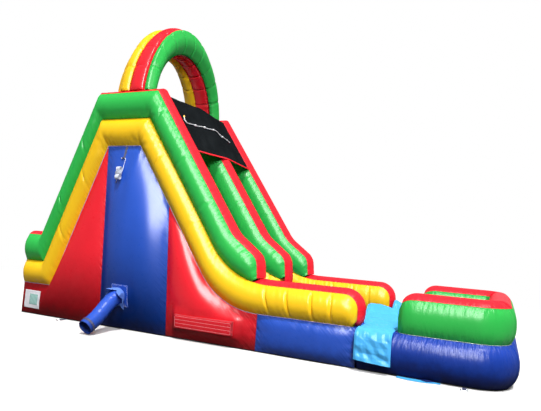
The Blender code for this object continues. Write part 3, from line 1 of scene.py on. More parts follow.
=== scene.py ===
"""Inflatable water slide with a climb, two lanes and a splash pool: the look of every piece.

Metres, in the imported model's own frame: +X runs down the slide, +Y to the rider's left, +Z up.
"""

import math

import bmesh
import bpy
import numpy as np
from mathutils import Matrix, Vector
from mathutils.bvhtree import BVHTree


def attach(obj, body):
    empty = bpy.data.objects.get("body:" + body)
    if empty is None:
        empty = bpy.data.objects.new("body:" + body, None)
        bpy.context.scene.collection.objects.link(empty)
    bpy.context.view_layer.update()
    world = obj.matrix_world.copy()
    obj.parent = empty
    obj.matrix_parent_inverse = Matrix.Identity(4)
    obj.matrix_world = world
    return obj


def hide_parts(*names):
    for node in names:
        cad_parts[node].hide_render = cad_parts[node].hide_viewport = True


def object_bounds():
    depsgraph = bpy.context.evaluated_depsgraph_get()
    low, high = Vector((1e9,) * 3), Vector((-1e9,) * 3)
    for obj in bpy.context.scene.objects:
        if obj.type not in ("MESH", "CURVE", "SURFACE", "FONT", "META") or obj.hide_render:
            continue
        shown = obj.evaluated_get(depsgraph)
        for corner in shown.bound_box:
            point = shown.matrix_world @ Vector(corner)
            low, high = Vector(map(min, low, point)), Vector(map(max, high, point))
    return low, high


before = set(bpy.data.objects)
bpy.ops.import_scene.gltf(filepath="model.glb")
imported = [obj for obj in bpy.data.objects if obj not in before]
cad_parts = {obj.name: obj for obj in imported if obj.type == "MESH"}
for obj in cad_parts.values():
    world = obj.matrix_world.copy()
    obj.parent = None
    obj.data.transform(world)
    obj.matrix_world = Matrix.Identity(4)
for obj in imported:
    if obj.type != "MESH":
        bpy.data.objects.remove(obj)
cad_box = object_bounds()
link = bpy.context.scene.collection.objects.link

# Camera. It stands beyond the pool on the near side, at about the height of a grown-up's chest, and was held
# a few degrees off level.
CAMERA_PLACE = (5.9605, -8.076, 1.583)
CAMERA_YAW, CAMERA_PITCH, CAMERA_ROLL = (math.radians(angle) for angle in (24.4839, 4.194, 4.1589))
CAMERA_LENS = 34.02

ahead = Vector((-math.sin(CAMERA_YAW), math.cos(CAMERA_YAW), math.tan(CAMERA_PITCH))).normalized()
level = Vector((math.cos(CAMERA_YAW), math.sin(CAMERA_YAW), 0.0))
upright = level.cross(ahead)
camera_right = level * math.cos(CAMERA_ROLL) + upright * math.sin(CAMERA_ROLL)
camera_up = upright * math.cos(CAMERA_ROLL) - level * math.sin(CAMERA_ROLL)
camera = bpy.data.objects.new("camera", bpy.data.cameras.new("camera"))
camera.data.sensor_width = 36
camera.data.lens = CAMERA_LENS
turn = Matrix((camera_right, camera_up, -ahead)).transposed().to_4x4()
camera.matrix_world = Matrix.Translation(CAMERA_PLACE) @ turn
link(camera)
bpy.context.scene.camera = camera
bpy.context.scene.view_settings.view_transform = "Standard"

# Studio. A pale floor under a pale world, a soft high sun from the pool's side, a broad lamp that fills the
# near side, and a large one that is seen in the shine alone. The floor is pale to the eye but throws little
# light back.
FLOOR_SIZE, FLOOR_GAP = 40.0, 0.003
FLOOR_EYE_SHADE = 0.86
FLOOR_BOUNCE_SHADE = 0.05
FLOOR_FADE_START, FLOOR_FADE_END = 7.0, 13.0
SUN_TOWARDS = Vector((0.27, -0.36, 0.89))
SUN_STRENGTH = 2.85
SUN_ANGLE = math.radians(6)
SUN_COLOUR = (1.0, 0.985, 0.95)
SKY_STRENGTH = 0.75
HORIZON_STRENGTH = 0.1
LAMP_PLACE = Vector((8.5, -10.5, 7.5))
LAMP_AIM = Vector((0.8, -1.3, 1.8))
LAMP_SIZE = 2.6
LAMP_POWER = 920.0
SHEEN_PLACE = Vector((6.2, -12.8, 9.4))
SHEEN_WIDTH, SHEEN_HEIGHT = 7.5, 11.5
SHEEN_POWER = 12500.0
WHITE = (1.0, 1.0, 1.0, 1.0)


class Wiring:
    """A node tree, and short ways to add the nodes that the finishes use. Most give an output."""

    def __init__(self, tree):
        self.tree = tree

    def node(self, kind, inputs=None, **settings):
        """One node. Each input is a value, or the output that feeds it."""
        made = self.tree.nodes.new("ShaderNode" + kind)
        for name, value in settings.items():
            setattr(made, name, value)
        for name, value in (inputs or {}).items():
            if isinstance(value, bpy.types.NodeSocket):
                self.tree.links.new(value, made.inputs[name])
            else:
                made.inputs[name].default_value = value
        return made

    def place(self, kind="Object"):
        return self.node("TexCoord").outputs[kind]

    def maths(self, operation, *values):
        return self.node("Math", dict(enumerate(values)), operation=operation).outputs[0]

    def times(self, one, other):
        return self.maths("MULTIPLY", one, other)

    def spread(self, value, low, high, to_low=0.0, to_high=1.0, kind="LINEAR"):
        """The stretch from low to high, laid over another."""
        inputs = {"Value": value, "From Min": low, "From Max": high, "To Min": to_low, "To Max": to_high}
        return self.node("MapRange", inputs, interpolation_type=kind).outputs[0]

    def noise(self, at, scale, detail, roughness=0.5, distortion=0.0):
        inputs = {"Vector": at, "Scale": scale, "Detail": detail, "Roughness": roughness}
        return self.node("TexNoise", {**inputs, "Distortion": distortion}).outputs["Fac"]

    def weave(self, at, ribs, distortion, detail_scale=1.0):
        """Ribs across ribs. ribs gives a scale for each of two ways."""
        inputs = {"Vector": at, "Distortion": distortion, "Detail Scale": detail_scale}
        both = [self.node("TexWave", {**inputs, "Scale": ribs[way]}, bands_direction=way) for way in ribs]
        return self.times(*[wave.outputs["Fac"] for wave in both])

    def tinted(self, colour, value, saturation=1.0):
        inputs = {"Color": colour, "Value": value, "Saturation": saturation}
        return self.node("HueSaturation", inputs).outputs[0]

    def mixed(self, share, one, other):
        return self.node("Mix", {"Factor": share, 6: one, 7: other}, data_type="RGBA").outputs[2]

    def bump(self, height, strength, distance, **under):
        inputs = {"Height": height, "Strength": strength, "Distance": distance, **under}
        return self.node("Bump", inputs).outputs[0]

    def eye(self):
        """1 for what the camera sees, straight or through a shine or a clear film, 0 for the light itself."""
        ray = self.node("LightPath").outputs
        seen = self.maths("MAXIMUM", ray["Is Camera Ray"], ray["Is Glossy Ray"])
        return self.maths("MAXIMUM", seen, ray["Is Transmission Ray"])

    def surface(self, inputs):
        shader = self.node("BsdfPrincipled", inputs)
        self.node("OutputMaterial", {"Surface": shader.outputs[0]})


def blank_material(name):
    """A material with no nodes yet."""
    made = bpy.data.materials.new(name)
    made.use_nodes = True
    made.node_tree.nodes.clear()
    return made, Wiring(made.node_tree)


def light(name, kind, energy, towards, **settings):
    made = bpy.data.objects.new(name, bpy.data.lights.new(name, kind))
    made.data.energy = energy
    for key, value in settings.items():
        setattr(made.data, key, value)
    made.rotation_euler = towards.to_track_quat("Z", "Y").to_euler()
    link(made)
    return made


floor_finish, tree = blank_material("studio_floor")
eye = tree.eye()
shade = tree.spread(eye, 0.0, 1.0, FLOOR_BOUNCE_SHADE, FLOOR_EYE_SHADE)
lit = tree.node("BsdfDiffuse", {"Color": shade})
bare = tree.node("Emission", {"Color": WHITE, "Strength": eye})
reach = tree.node("VectorMath", {0: tree.place()}, operation="LENGTH").outputs["Value"]
fade = tree.spread(reach, FLOOR_FADE_START, FLOOR_FADE_END, kind="SMOOTHSTEP")
both = tree.node("MixShader", {0: fade, 1: lit.outputs[0], 2: bare.outputs[0]})
tree.node("OutputMaterial", {"Surface": both.outputs[0]})
half = FLOOR_SIZE / 2
floor_corners = [(-half, -half, 0), (half, -half, 0), (half, half, 0), (-half, half, 0)]
floor_mesh = bpy.data.meshes.new("studio_floor")
floor_mesh.from_pydata(floor_corners, [], [(0, 1, 2, 3)])
floor_mesh.materials.append(floor_finish)
floor = bpy.data.objects.new("studio_floor", floor_mesh)
floor.location = ((cad_box[0].x + cad_box[1].x) / 2, 0.0, -FLOOR_GAP)
link(floor)

world = bpy.data.worlds.new("studio")
world.use_nodes = True
world.node_tree.nodes.clear()
bpy.context.scene.world = world
tree = Wiring(world.node_tree)
upward = tree.node("SeparateXYZ", {0: tree.place("Generated")}).outputs["Z"]
overhead = tree.spread(upward, -0.05, 0.9, HORIZON_STRENGTH, SKY_STRENGTH, "SMOOTHSTEP")
strength = tree.spread(tree.eye(), 0.0, 1.0, overhead, 1.0)
sky = tree.node("Background", {"Color": WHITE, "Strength": strength})
tree.node("OutputWorld", {"Surface": sky.outputs[0]})

light("sun", "SUN", SUN_STRENGTH, SUN_TOWARDS, angle=SUN_ANGLE, color=SUN_COLOUR)
lamp = light("broad_lamp", "AREA", LAMP_POWER, LAMP_PLACE - LAMP_AIM, size=LAMP_SIZE)
lamp.location = LAMP_PLACE
lamp.visible_glossy = False
sheen_shape = {"shape": "RECTANGLE", "size": SHEEN_WIDTH, "size_y": SHEEN_HEIGHT}
gleam = light("sheen_lamp", "AREA", SHEEN_POWER, SHEEN_PLACE - LAMP_AIM, **sheen_shape)
gleam.location = SHEEN_PLACE
gleam.visible_diffuse = False

# Coated fabric. Every air-filled piece is cut from vinyl-coated polyester and sewn: a glossy face with a faint
# weave, tight little puckers along each seam, a dull film of dust, and painted shade that darkens the colour
# towards the ground, with soil and more painted shade at the very foot.
# The dark tone of each colour that the painted shade goes to, and how much of the shine it takes away.
PAINTED_SHADE_TONE, PAINTED_SHADE_SATURATION = 0.13, 1.1
PAINTED_SHADE_SHINE_LOSS = 0.95
COAT_ROUGHNESS, COAT_IOR = 0.24, 1.4
WEAVE_SCALE, WEAVE_HEIGHT = 90.0, 0.0008
FABRIC_RELIEF, PUCKER_STRENGTH = (0.5, 0.01), 0.9
SEAM_SHADE = 0.55
# The near black brown that the foot of every piece goes to: soil, and painted shade where it meets the ground.
SOIL_AND_SHADE_COLOUR = (0.02, 0.015, 0.014, 1.0)
SEWN_EDGE = (0.009, 0.002)


def node_group(name, inputs, outputs):
    """An empty shader group, its inputs inside it, and a function that feeds its outputs."""
    made = bpy.data.node_groups.new(name, "ShaderNodeTree")
    for socket, value in inputs.items():
        kind = "NodeSocketColor" if isinstance(value, tuple) else "NodeSocketFloat"
        made.interface.new_socket(socket, in_out="INPUT", socket_type=kind).default_value = value
    for socket in outputs:
        kind = "NodeSocketColor" if socket == "Color" else "NodeSocketFloat"
        made.interface.new_socket(socket, in_out="OUTPUT", socket_type=kind)
    given, gives = made.nodes.new("NodeGroupInput").outputs, made.nodes.new("NodeGroupOutput").inputs

    def put_out(*values):
        for socket, value in zip(outputs, values):
            made.links.new(value, gives[socket])

    return made, Wiring(made), given, put_out


vinyl_face, tree, given, put_out = node_group(
    "vinyl_face",
    {"Color": (0.5, 0.5, 0.5, 1.0), "Soil And Shade": 0.5, "Painted Shade Height": 0.5, "Roughness": 0.3},
    ("Color", "Roughness", "Height", "Painted Shade"),
)
at = tree.place()
tone = tree.spread(tree.noise(at, 1.3, 4.0, 0.6), 0.25, 0.75, 0.93, 1.05)
toned = tree.tinted(given["Color"], tone)
height = tree.node("SeparateXYZ", {0: at}).outputs["Z"]
lifted = tree.maths("SUBTRACT", height, tree.times(tree.noise(at, 7.0, 5.0, 0.65), 0.22))
# Within about 0.1 m of the ground the colour goes near black and rougher: soil, and painted shade at the foot.
low = tree.spread(lifted, 0.12, -0.09)
# Painted shade: from the given height down, the colour darkens towards the ground to a dark tone of itself, for
# the shade under the bulges. The same mask goes out to fade the coat.
painted_shade = tree.spread(lifted, given["Painted Shade Height"], -0.16, 0.0, 0.95, "SMOOTHSTEP")
painted_shade_share = tree.times(painted_shade, given["Soil And Shade"])
soil_and_shade = tree.times(low, tree.times(given["Soil And Shade"], 0.5))
shade_painted = tree.mixed(painted_shade_share, toned, tree.tinted(toned, PAINTED_SHADE_TONE, PAINTED_SHADE_SATURATION))
soiled_and_shaded = tree.mixed(soil_and_shade, shade_painted, SOIL_AND_SHADE_COLOUR)
dull = tree.spread(tree.noise(at, 16.0, 6.0, 0.7), 0.3, 0.75, -0.02, 0.05)
rough = tree.maths("MULTIPLY_ADD", soil_and_shade, 0.35, tree.maths("ADD", given["Roughness"], dull))
scrim = tree.times(tree.weave(at, {"X": WEAVE_SCALE, "Z": WEAVE_SCALE}, 0.6), WEAVE_HEIGHT)
slack = tree.noise(at, 3.2, 3.0, distortion=0.4)
put_out(soiled_and_shaded, rough, tree.maths("MULTIPLY_ADD", slack, 0.35, scrim), painted_shade_share)

# Each skin carries "seam_map": metres along the piece, metres to its nearest seam, and a number of its own.
seam_puckers, tree, given, put_out = node_group(
    "seam_puckers", {"Spacing": 0.07, "Reach": 0.09}, ("Height", "Seam")
)
seam_map = tree.node("Attribute", attribute_name="seam_map").outputs["Vector"]
along, away, own = tree.node("SeparateXYZ", {0: seam_map}).outputs
stretched = tree.maths("DIVIDE", along, given["Spacing"])
spot = tree.node("CombineXYZ", {"X": stretched, "Y": tree.times(away, 5.0), "Z": own})
folds = tree.noise(spot.outputs[0], 1.0, 2.5, 0.55)
near = tree.maths("DIVIDE", away, given["Reach"])
fading = tree.maths("EXPONENT", tree.times(near, -1.0))
puckered = tree.times(tree.spread(folds, 0.3, 0.7, -1.0, 1.0), fading)
sewn = tree.spread(away, *SEWN_EDGE, kind="SMOOTHSTEP")
put_out(tree.maths("MULTIPLY_ADD", sewn, -0.8, puckered), sewn)


def hue(code):
    """A colour as it is seen, in the light's own scale."""
    shares = [int(code[k : k + 2], 16) / 255 for k in (0, 2, 4)]
    return (*[c / 12.92 if c <= 0.04045 else ((c + 0.055) / 1.055) ** 2.4 for c in shares], 1.0)


def vinyl(
    name,
    slot,
    colour,
    gloss=0.28,
    soil_and_shade=0.5,
    painted_shade=0.4,
    pucker=0.006,
    sheen=0.32,
    shine=0.1,
    spacing=0.07,
    reach=0.08,
):
    """Coated fabric in one colour, with its shine, its weave, and puckers this deep along its seams."""
    # The soil setting darkens the foot with soil and painted shade, and sets how strong the painted shade is
    # above it. The height setting is where the painted shade begins.
    made, tree = blank_material(name)
    inputs = {"Color": hue(colour), "Soil And Shade": soil_and_shade, "Painted Shade Height": painted_shade, "Roughness": gloss}
    face = tree.node("Group", inputs, node_tree=vinyl_face).outputs
    sewing = tree.node("Group", {"Spacing": spacing, "Reach": reach}, node_tree=seam_puckers).outputs
    shut = tree.times(sewing["Seam"], SEAM_SHADE)
    base = tree.mixed(shut, face["Color"], tree.tinted(face["Color"], SEAM_SHADE))
    fabric = tree.bump(face["Height"], *FABRIC_RELIEF)
    # The coat and the shine fade at grazing angles, and also where the painted shade lies, so that it stays
    # dark.
    turned = tree.node("LayerWeight", {"Blend": 0.5}).outputs["Facing"]
    calm = tree.spread(turned, 0.25, 0.7, 1.0, 0.02)
    bare = tree.times(calm, tree.maths("MULTIPLY_ADD", face["Painted Shade"], -PAINTED_SHADE_SHINE_LOSS, 1.0))
    tree.surface(
        {
            "Base Color": base,
            "Roughness": face["Roughness"],
            "Normal": tree.bump(sewing["Height"], PUCKER_STRENGTH, pucker, Normal=fabric),
            "Coat Weight": tree.times(bare, sheen),
            "Coat Roughness": COAT_ROUGHNESS,
            "Coat IOR": COAT_IOR,
            "Specular IOR Level": tree.times(bare, shine),
        }
    )
    return made


green_vinyl = vinyl("green_coated_fabric", "green_vinyl", "2FBA50", sheen=0.09)
yellow_vinyl = vinyl("yellow_coated_fabric", "yellow_vinyl", "FFCC20", sheen=0.1)
red_vinyl = vinyl("red_coated_fabric", "red_vinyl", "F31F2F")
blue_vinyl = vinyl("blue_coated_fabric", "blue_vinyl", "2350BC")
# These panel finishes carry stronger painted shade, reaching higher up the big bulging panels.
red_rear_vinyl = vinyl("red_rear_panel_fabric", "red_vinyl", "F31F2F", soil_and_shade=0.97, painted_shade=1.35)
red_front_vinyl = vinyl("red_front_panel_fabric", "red_vinyl", "F31F2F", soil_and_shade=0.85, painted_shade=0.62)
blue_panel_vinyl = vinyl("blue_panel_fabric", "blue_vinyl", "2656C6", soil_and_shade=0.97, painted_shade=1.8)
ground_vinyl = vinyl("ground_coated_fabric", None, "2B2D31", gloss=0.5, soil_and_shade=0.3, sheen=0.1)

# Ground sheet, pool floor, baffles. Heavy dark vinyl lies under the slide and the pool, and two fabric walls
# with round air ports tie the tower's sides together inside it.


def dress(finish, *nodes):
    """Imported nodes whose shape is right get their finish."""
    for node in nodes:
        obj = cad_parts[node]
        if not obj.material_slots:
            obj.data.materials.append(finish)
        for place in obj.material_slots:
            place.link = "OBJECT"
            place.material = finish


dress(ground_vinyl, "ground_sheet", "pool_floor")
dress(blue_vinyl, "rear_baffle", "front_baffle")

# Bed, deck and climb. The rider's surface is one long air mattress: channels run down it, tied to the layer
# below by inner threads, and the side walls are sewn down on its edges.
HALF_WIDTH = 1.236
WALL_THICKNESS = 0.293
WALL_TOP = 4.0
DECK_LENGTH = 1.255
REAR_RUN = 1.045
ENTRY_LENGTH, ENTRY_TOP = 0.34, 1.436
FRONT_SLOPE = math.radians(55.3)
GREEN_REAR_DEPTH, GREEN_DECK_DEPTH, GREEN_FRONT_DEPTH = 0.27, 0.465, 0.365
YELLOW_REAR_DEPTH, YELLOW_DECK_DEPTH, YELLOW_FRONT_DEPTH = 0.36, 0.475, 0.385
ENTRY_YELLOW_TOP = 0.962
BED_HEIGHT = 0.54
ENTRY_FLOOR = 0.552
RUNOUT_TOP = 0.966
FOOT_RADIUS = 1.2
# Where the slope flares, x and radius, and its nose, x, z and radius.
FLARE = (2.25, 0.6)
NOSE = (2.68, 1.34, 0.22)
FOOT_X = 2.71
FOOT_TIP_Z = 1.053
GREEN_TIP_X = 2.628
SLIDE_END_X = 4.238
RUNOUT_NOSE_RADIUS = 0.2
RUNOUT_HEEL_RADIUS, RUNOUT_HEEL_RISE = 0.06, 0.045
CENTRE_SEAM_TOP_X = 1.05
BASE_SEAM_X = 2.76
# Steps along every seam line, for each stretch between two of its breaks.
RUN_STEPS = (12, 72, 34, 48, 26, 34, 96, 22)
SHEET_THICKNESS, SLAB_THICKNESS, PANEL_THICKNESS = 0.012, 0.08, 0.03
CHANNEL_WIDTH, CHANNEL_DEPTH = 0.2, 0.022
CLEARANCE = 0.0006
GROUND_CLEAR = SHEET_THICKNESS + CLEARANCE
MATTRESS_WAVES, MATTRESS_SINK = 0.0015, 0.001
END_WALL_CHANNELS = 8
END_WALL_SWELL, END_WALL_SETBACK = 0.02, 0.022


def unit(v):
    return v / np.linalg.norm(v)


def trace(corners, radii, step=math.radians(2.5)):
    """A line through corners, each rounded to its radius. The two ends have none."""
    corners = [np.array(c, float) for c in corners]
    points = [corners[0]]
    for before, corner, beyond, radius in zip(corners, corners[1:], corners[2:], radii):
        back, onward = unit(before - corner), unit(beyond - corner)
        bend = math.pi - math.acos(float(np.clip(back @ onward, -1, 1)))
        if radius == 0 or bend < 1e-6:
            points.append(corner)
            continue
        tangent = radius * math.tan(bend / 2)
        centre = corner + unit(back + onward) * radius / math.cos(bend / 2)
        first = corner + back * tangent - centre
        last = corner + onward * tangent - centre
        count = max(2, math.ceil(bend / step))
        for share in (k / count for k in range(count + 1)):
            mixed = first * math.sin((1 - share) * bend) + last * math.sin(share * bend)
            points.append(centre + mixed / math.sin(bend))
    points.append(corners[-1])
    return np.array(points)


def lengths_along(path):
    return np.concatenate([[0], np.cumsum(np.linalg.norm(np.diff(path, axis=0), axis=1))])


def point_on(path, along, place):
    return np.array([np.interp(place, along, path[:, k]) for k in range(path.shape[1])])


def resample(path, steps):
    lengths = lengths_along(path)
    return point_on(path, lengths, np.linspace(0, lengths[-1], steps + 1)).T


def at_x(path, x):
    return np.array([x, np.interp(x, path[:, 0], path[:, 1])])


def portion(path, x_from, x_to, steps):
    """The stretch of a line that runs forward in x, between two x, evenly resampled."""
    inside = path[(path[:, 0] > x_from) & (path[:, 0] < x_to)]
    return resample(np.vstack([at_x(path, x_from), inside, at_x(path, x_to)]), steps)


def rail(path, *breaks):
    stretches = [portion(path, *ends)[:-1] for ends in zip(breaks, breaks[1:], RUN_STEPS)]
    return np.vstack([*stretches, at_x(path, breaks[-1])])


def normals_of(points):
    """Upward normals, stretched at the corners so that an offset keeps its width on both sides."""
    onward = np.diff(points, axis=0)
    onward = onward / np.linalg.norm(onward, axis=1)[:, None]
    side = np.stack([-onward[:, 1], onward[:, 0]], axis=1)
    first = np.vstack([side[:1], side])
    last = np.vstack([side, side[-1:]])
    return (first + last) / (1 + np.sum(first * last, axis=1))[:, None]


def shifted(points, distance):
    return points + normals_of(points) * distance


REAR_SLOPE = math.atan2(WALL_TOP - ENTRY_TOP, REAR_RUN)
DECK_REAR_X = -DECK_LENGTH / 2
DECK_FRONT_X = DECK_LENGTH / 2
ENTRY_X = DECK_REAR_X - REAR_RUN
REAR_X = ENTRY_X - ENTRY_LENGTH
INNER_Y = HALF_WIDTH - WALL_THICKNESS


def side_line(entry_z, deck_z, foot_z, rear_depth, front_depth):
    """A seam line of the wall up the climb, over the deck and down, its breaks, and where its foot curves."""

    def rear_x(z):
        return ENTRY_X + (z - ENTRY_TOP) / math.tan(REAR_SLOPE) + rear_depth / math.sin(REAR_SLOPE)

    def front_x(z):
        return DECK_FRONT_X + (WALL_TOP - z) / math.tan(FRONT_SLOPE) - front_depth / math.sin(FRONT_SLOPE)

    slope = [(rear_x(entry_z), entry_z), (rear_x(deck_z), deck_z), (front_x(deck_z), deck_z)]
    corners = [(REAR_X, entry_z), *slope, (front_x(foot_z), foot_z), (SLIDE_END_X, foot_z)]
    curve_start = corners[4][0] - FOOT_RADIUS * math.tan(FRONT_SLOPE / 2) * math.cos(FRONT_SLOPE)
    breaks = [REAR_X, *(x for x, _ in slope)]
    return trace(corners, (0, 0, 0, FOOT_RADIUS)), breaks, curve_start


green_deck_z = WALL_TOP - GREEN_DECK_DEPTH
body_deck_z = green_deck_z - YELLOW_DECK_DEPTH
front_depth = GREEN_FRONT_DEPTH + YELLOW_FRONT_DEPTH
flare_z = WALL_TOP - (FLARE[0] - DECK_FRONT_X) * math.tan(FRONT_SLOPE)
deck_corners = [(REAR_X, ENTRY_TOP), (ENTRY_X, ENTRY_TOP), (DECK_REAR_X, WALL_TOP), (DECK_FRONT_X, WALL_TOP)]
top_corners = [*deck_corners, (FLARE[0], flare_z), NOSE[:2], (FOOT_X, FOOT_TIP_Z)]
lean = math.sin(FRONT_SLOPE)
flare_turn = FRONT_SLOPE - math.atan2(flare_z - NOSE[1], NOSE[0] - FLARE[0])
flare_start = FLARE[0] - FLARE[1] * math.tan(flare_turn / 2) * math.cos(FRONT_SLOPE)
breaks = (x for x, _ in deck_corners)
top_line = trace(top_corners, (0, 0, 0, FLARE[1], NOSE[2]))
TOP_RAIL = rail(top_line, *breaks, CENTRE_SEAM_TOP_X + front_depth * lean, flare_start, FOOT_X)
nose_x, heel_x = SLIDE_END_X - RUNOUT_NOSE_RADIUS, SLIDE_END_X - RUNOUT_HEEL_RADIUS
heel = BED_HEIGHT + RUNOUT_HEEL_RISE
nose_line = trace(
    [(nose_x, RUNOUT_TOP), (SLIDE_END_X, RUNOUT_TOP), (SLIDE_END_X, heel), (heel_x, heel)],
    (RUNOUT_NOSE_RADIUS, RUNOUT_HEEL_RADIUS),
)
green_depths = GREEN_REAR_DEPTH, GREEN_FRONT_DEPTH
line, breaks, curve = side_line(ENTRY_YELLOW_TOP, green_deck_z, RUNOUT_TOP, *green_depths)
seam_x = CENTRE_SEAM_TOP_X + YELLOW_FRONT_DEPTH * lean
middle_line = rail(line, *breaks, seam_x, curve, GREEN_TIP_X, nose_x)
MIDDLE_RAIL = np.vstack([middle_line[:-1], resample(nose_line, RUN_STEPS[7])])
rear_depth = GREEN_REAR_DEPTH + YELLOW_REAR_DEPTH
line, breaks, curve = side_line(ENTRY_FLOOR, body_deck_z, BED_HEIGHT, rear_depth, front_depth)
BODY_RAIL = rail(line, *breaks, CENTRE_SEAM_TOP_X, curve, BASE_SEAM_X, nose_x, heel_x)
REAR_TOE, DECK_REAR, DECK_FRONT, CENTRE_SEAM, _, FOOT_END, NOSE_START, RAIL_END = np.cumsum(RUN_STEPS)


def mesh_piece(name, points, faces, finish, nodes, body):
    """A mesh with its faces turned outward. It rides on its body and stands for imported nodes."""
    mesh = bpy.data.meshes.new(name)
    mesh.from_pydata(points, [], faces)
    shape = bmesh.new()
    shape.from_mesh(mesh)
    bmesh.ops.recalc_face_normals(shape, faces=shape.faces)
    shape.to_mesh(mesh)
    shape.free()
    mesh.materials.append(finish)
    piece = bpy.data.objects.new(name, mesh)
    link(piece)
    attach(piece, body)
    if nodes:
        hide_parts(*nodes)
    return piece


def name_number(name):
    return sum(map(ord, name))


def swollen_end(edge, inward, depth):
    """The rings that close an open end, and swell out of it by a depth."""
    centre = edge[:, :3].mean(axis=0)
    spokes = edge[:, :3] - centre
    out = unit(centre - inward[:, :3].mean(axis=0))
    extra = []
    for share in (0.3, 0.55, 0.75, 0.9) if depth else (0.5,):
        angle = share * math.pi / 2
        ring = edge.copy()
        ring[:, :3] = centre + spokes * math.cos(angle) + out * depth * math.sin(angle)
        ring[:, 4] = np.linalg.norm(spokes, axis=1) * (1 - math.cos(angle))
        extra.append(ring)
    return extra


def skin(name, rings, finish, *nodes, body="slide", joined=False, swell_ends=(0, 0), sharp=50, sheet=False):
    """A closed skin over rings of points, with the seam map that its finish reads.

    A point is x, y, z, metres along and metres to the nearest seam. An open row of rings is closed by ends
    that swell by the distances given, or by thin edges where it is a sheet, whose rings hold its upper face
    and then its lower face backwards.
    """
    rings = np.array(rings, float)
    if not (joined or sheet):
        rings = np.vstack([swollen_end(rings[0], rings[1], swell_ends[0])[::-1], rings])
        rings = np.vstack([rings, swollen_end(rings[-1], rings[-2], swell_ends[1])])
    count = rings.shape[1]
    here = np.arange(count)
    after = (here + 1) % count
    faces = []
    for i in range(len(rings) if joined else len(rings) - 1):
        a, b = i * count, (i + 1) % len(rings) * count
        faces += np.stack([a + here, a + after, b + after, b + here], axis=1).tolist()
    points = rings.reshape(-1, 5)
    for first in () if joined else (0, len(points) - count):
        if sheet:
            for i in range(count // 2 - 1):
                faces.append([first + k for k in (i, i + 1, count - 2 - i, count - 1 - i)])
        else:
            faces.append(list(range(first, first + count)))
    piece = mesh_piece(f"{name}_skin", points[:, :3].tolist(), faces, finish, nodes, body)
    own = np.full((len(points), 1), name_number(name) % 97 * 1.37)
    seam_layer = piece.data.attributes.new("seam_map", "FLOAT_VECTOR", "POINT")
    seam_layer.data.foreach_set("vector", np.hstack([points[:, 3:], own]).astype(np.float32).ravel())
    piece.data.shade_smooth()
    piece.data.set_sharp_from_angle(angle=math.radians(sharp))
    return piece


def ripple(along, spacing, seed):
    """A wavering line from about -1 to 1, with bumps about this far apart, the same in every run."""
    rng = np.random.default_rng(seed)
    total = 0.0
    for _ in range(5):
        wave = spacing * rng.uniform(0.6, 1.7)
        total = total + np.sin(2 * math.pi * (along / wave + rng.uniform()))
    return total / 2.6


def gather(away, along, seed, depth, reach, spacing, rest=0.0):
    """How far a seam draws the fabric in, this far from it: uneven, and nothing on the thread itself."""
    drawn = depth * math.exp(-away / reach) * (1 + ripple(along, spacing, seed))
    return drawn * min(1.0, away / rest) if rest else drawn


def bow(share, roundness):
    """0 at both ends of a span, 1 in its middle."""
    return 1 - abs(2 * share - 1) ** roundness


def edge_share(share):
    return min(share, 1 - share)


def eased(count):
    """Shares from 0 to 1, closer together at both ends."""
    return (1 - np.cos(math.pi * np.linspace(0, 1, count))) / 2


def mattress(name, line, under, seed):
    """A slab with air channels lengthwise: seams sink between them, each channel crowns to the cut line."""
    half = HALF_WIDTH - PANEL_THICKNESS - CLEARANCE
    channels = round(2 * half / CHANNEL_WIDTH)
    across = np.linspace(-half, half, channels * 8 + 1)
    phase = (across + half) / (2 * half) * channels % 1.0
    crown = bow(phase, 2.4) ** 0.7
    away = np.minimum(phase, 1 - phase) * (2 * half / channels)
    rings = []
    for s, point, low_point, normal in zip(lengths_along(line), line, under, normals_of(line)):
        waves = MATTRESS_WAVES * (1 + ripple(s + across * 3, 0.3, seed))
        sink = CHANNEL_DEPTH * (1 - crown) + waves * crown
        top = point[None, :] - normal[None, :] * (sink + MATTRESS_SINK)[:, None]
        ring = [(x, y, z, s, d) for (x, z), y, d in zip(top, across, away)]
        rings.append(ring + [(low_point[0], y, low_point[1], s, 0.2) for y in (half, 0.0, -half)])
    skin(name, rings, blue_vinyl, name)


def standing_slab(name, line, under, end_x, inward, seed):
    """A mattress whose outer end comes down to the ground as the body's end wall."""
    mattress(name, line, under, seed)
    half = HALF_WIDTH - PANEL_THICKNESS - CLEARANCE
    top = line[0 if inward > 0 else -1][1] - CHANNEL_DEPTH - CLEARANCE
    rings = []
    for y in np.linspace(-half, half, 49):
        phase = (y + half) / (2 * half) * END_WALL_CHANNELS % 1.0
        ring = []
        for row in np.linspace(0, 1, 15):
            z = GROUND_CLEAR + (top - GROUND_CLEAR) * row
            swell = END_WALL_SWELL * bow(row, 4) * bow(phase, 3)
            away = min(z, top - z, edge_share(phase) * half / 4)
            ring.append((end_x + inward * (END_WALL_SETBACK - swell), y, z, y, away))
        rings.append(ring + [(end_x + inward * SLAB_THICKNESS, y, z, y, 0.2) for z in (top, GROUND_CLEAR)])
    skin(f"{name}_end_wall", rings, blue_vinyl)


whole = np.vstack([BODY_RAIL, [[SLIDE_END_X, BED_HEIGHT]]])
unders = shifted(whole, -SLAB_THICKNESS)
deck_line = whole[DECK_REAR : DECK_FRONT + 1].copy()
deck_line[0, 0] += CLEARANCE
deck_line[-1, 0] -= CLEARANCE
mattress("deck_platform", deck_line, unders[DECK_REAR : DECK_FRONT + 1], 3)
standing_slab("climb_ramp", whole[: DECK_REAR + 1], unders[: DECK_REAR + 1], REAR_X, 1, 4)
standing_slab("slide_bed", whole[DECK_FRONT:], unders[DECK_FRONT:], SLIDE_END_X, -1, 5)

# Climbing rungs. One padded blanket is sewn to the ramp, with a soft round roll across it for every step.
RUNG_COUNT = 8
RUNG_HEIGHT = 0.11
RUNG_BASE = 0.02
RUNG_SIDE_CLEARANCE = 0.075
RUNG_GROOVE = 0.002
RUNG_WAVES = 0.002
RUNG_END = 0.09
RUNG_STEPS = 12

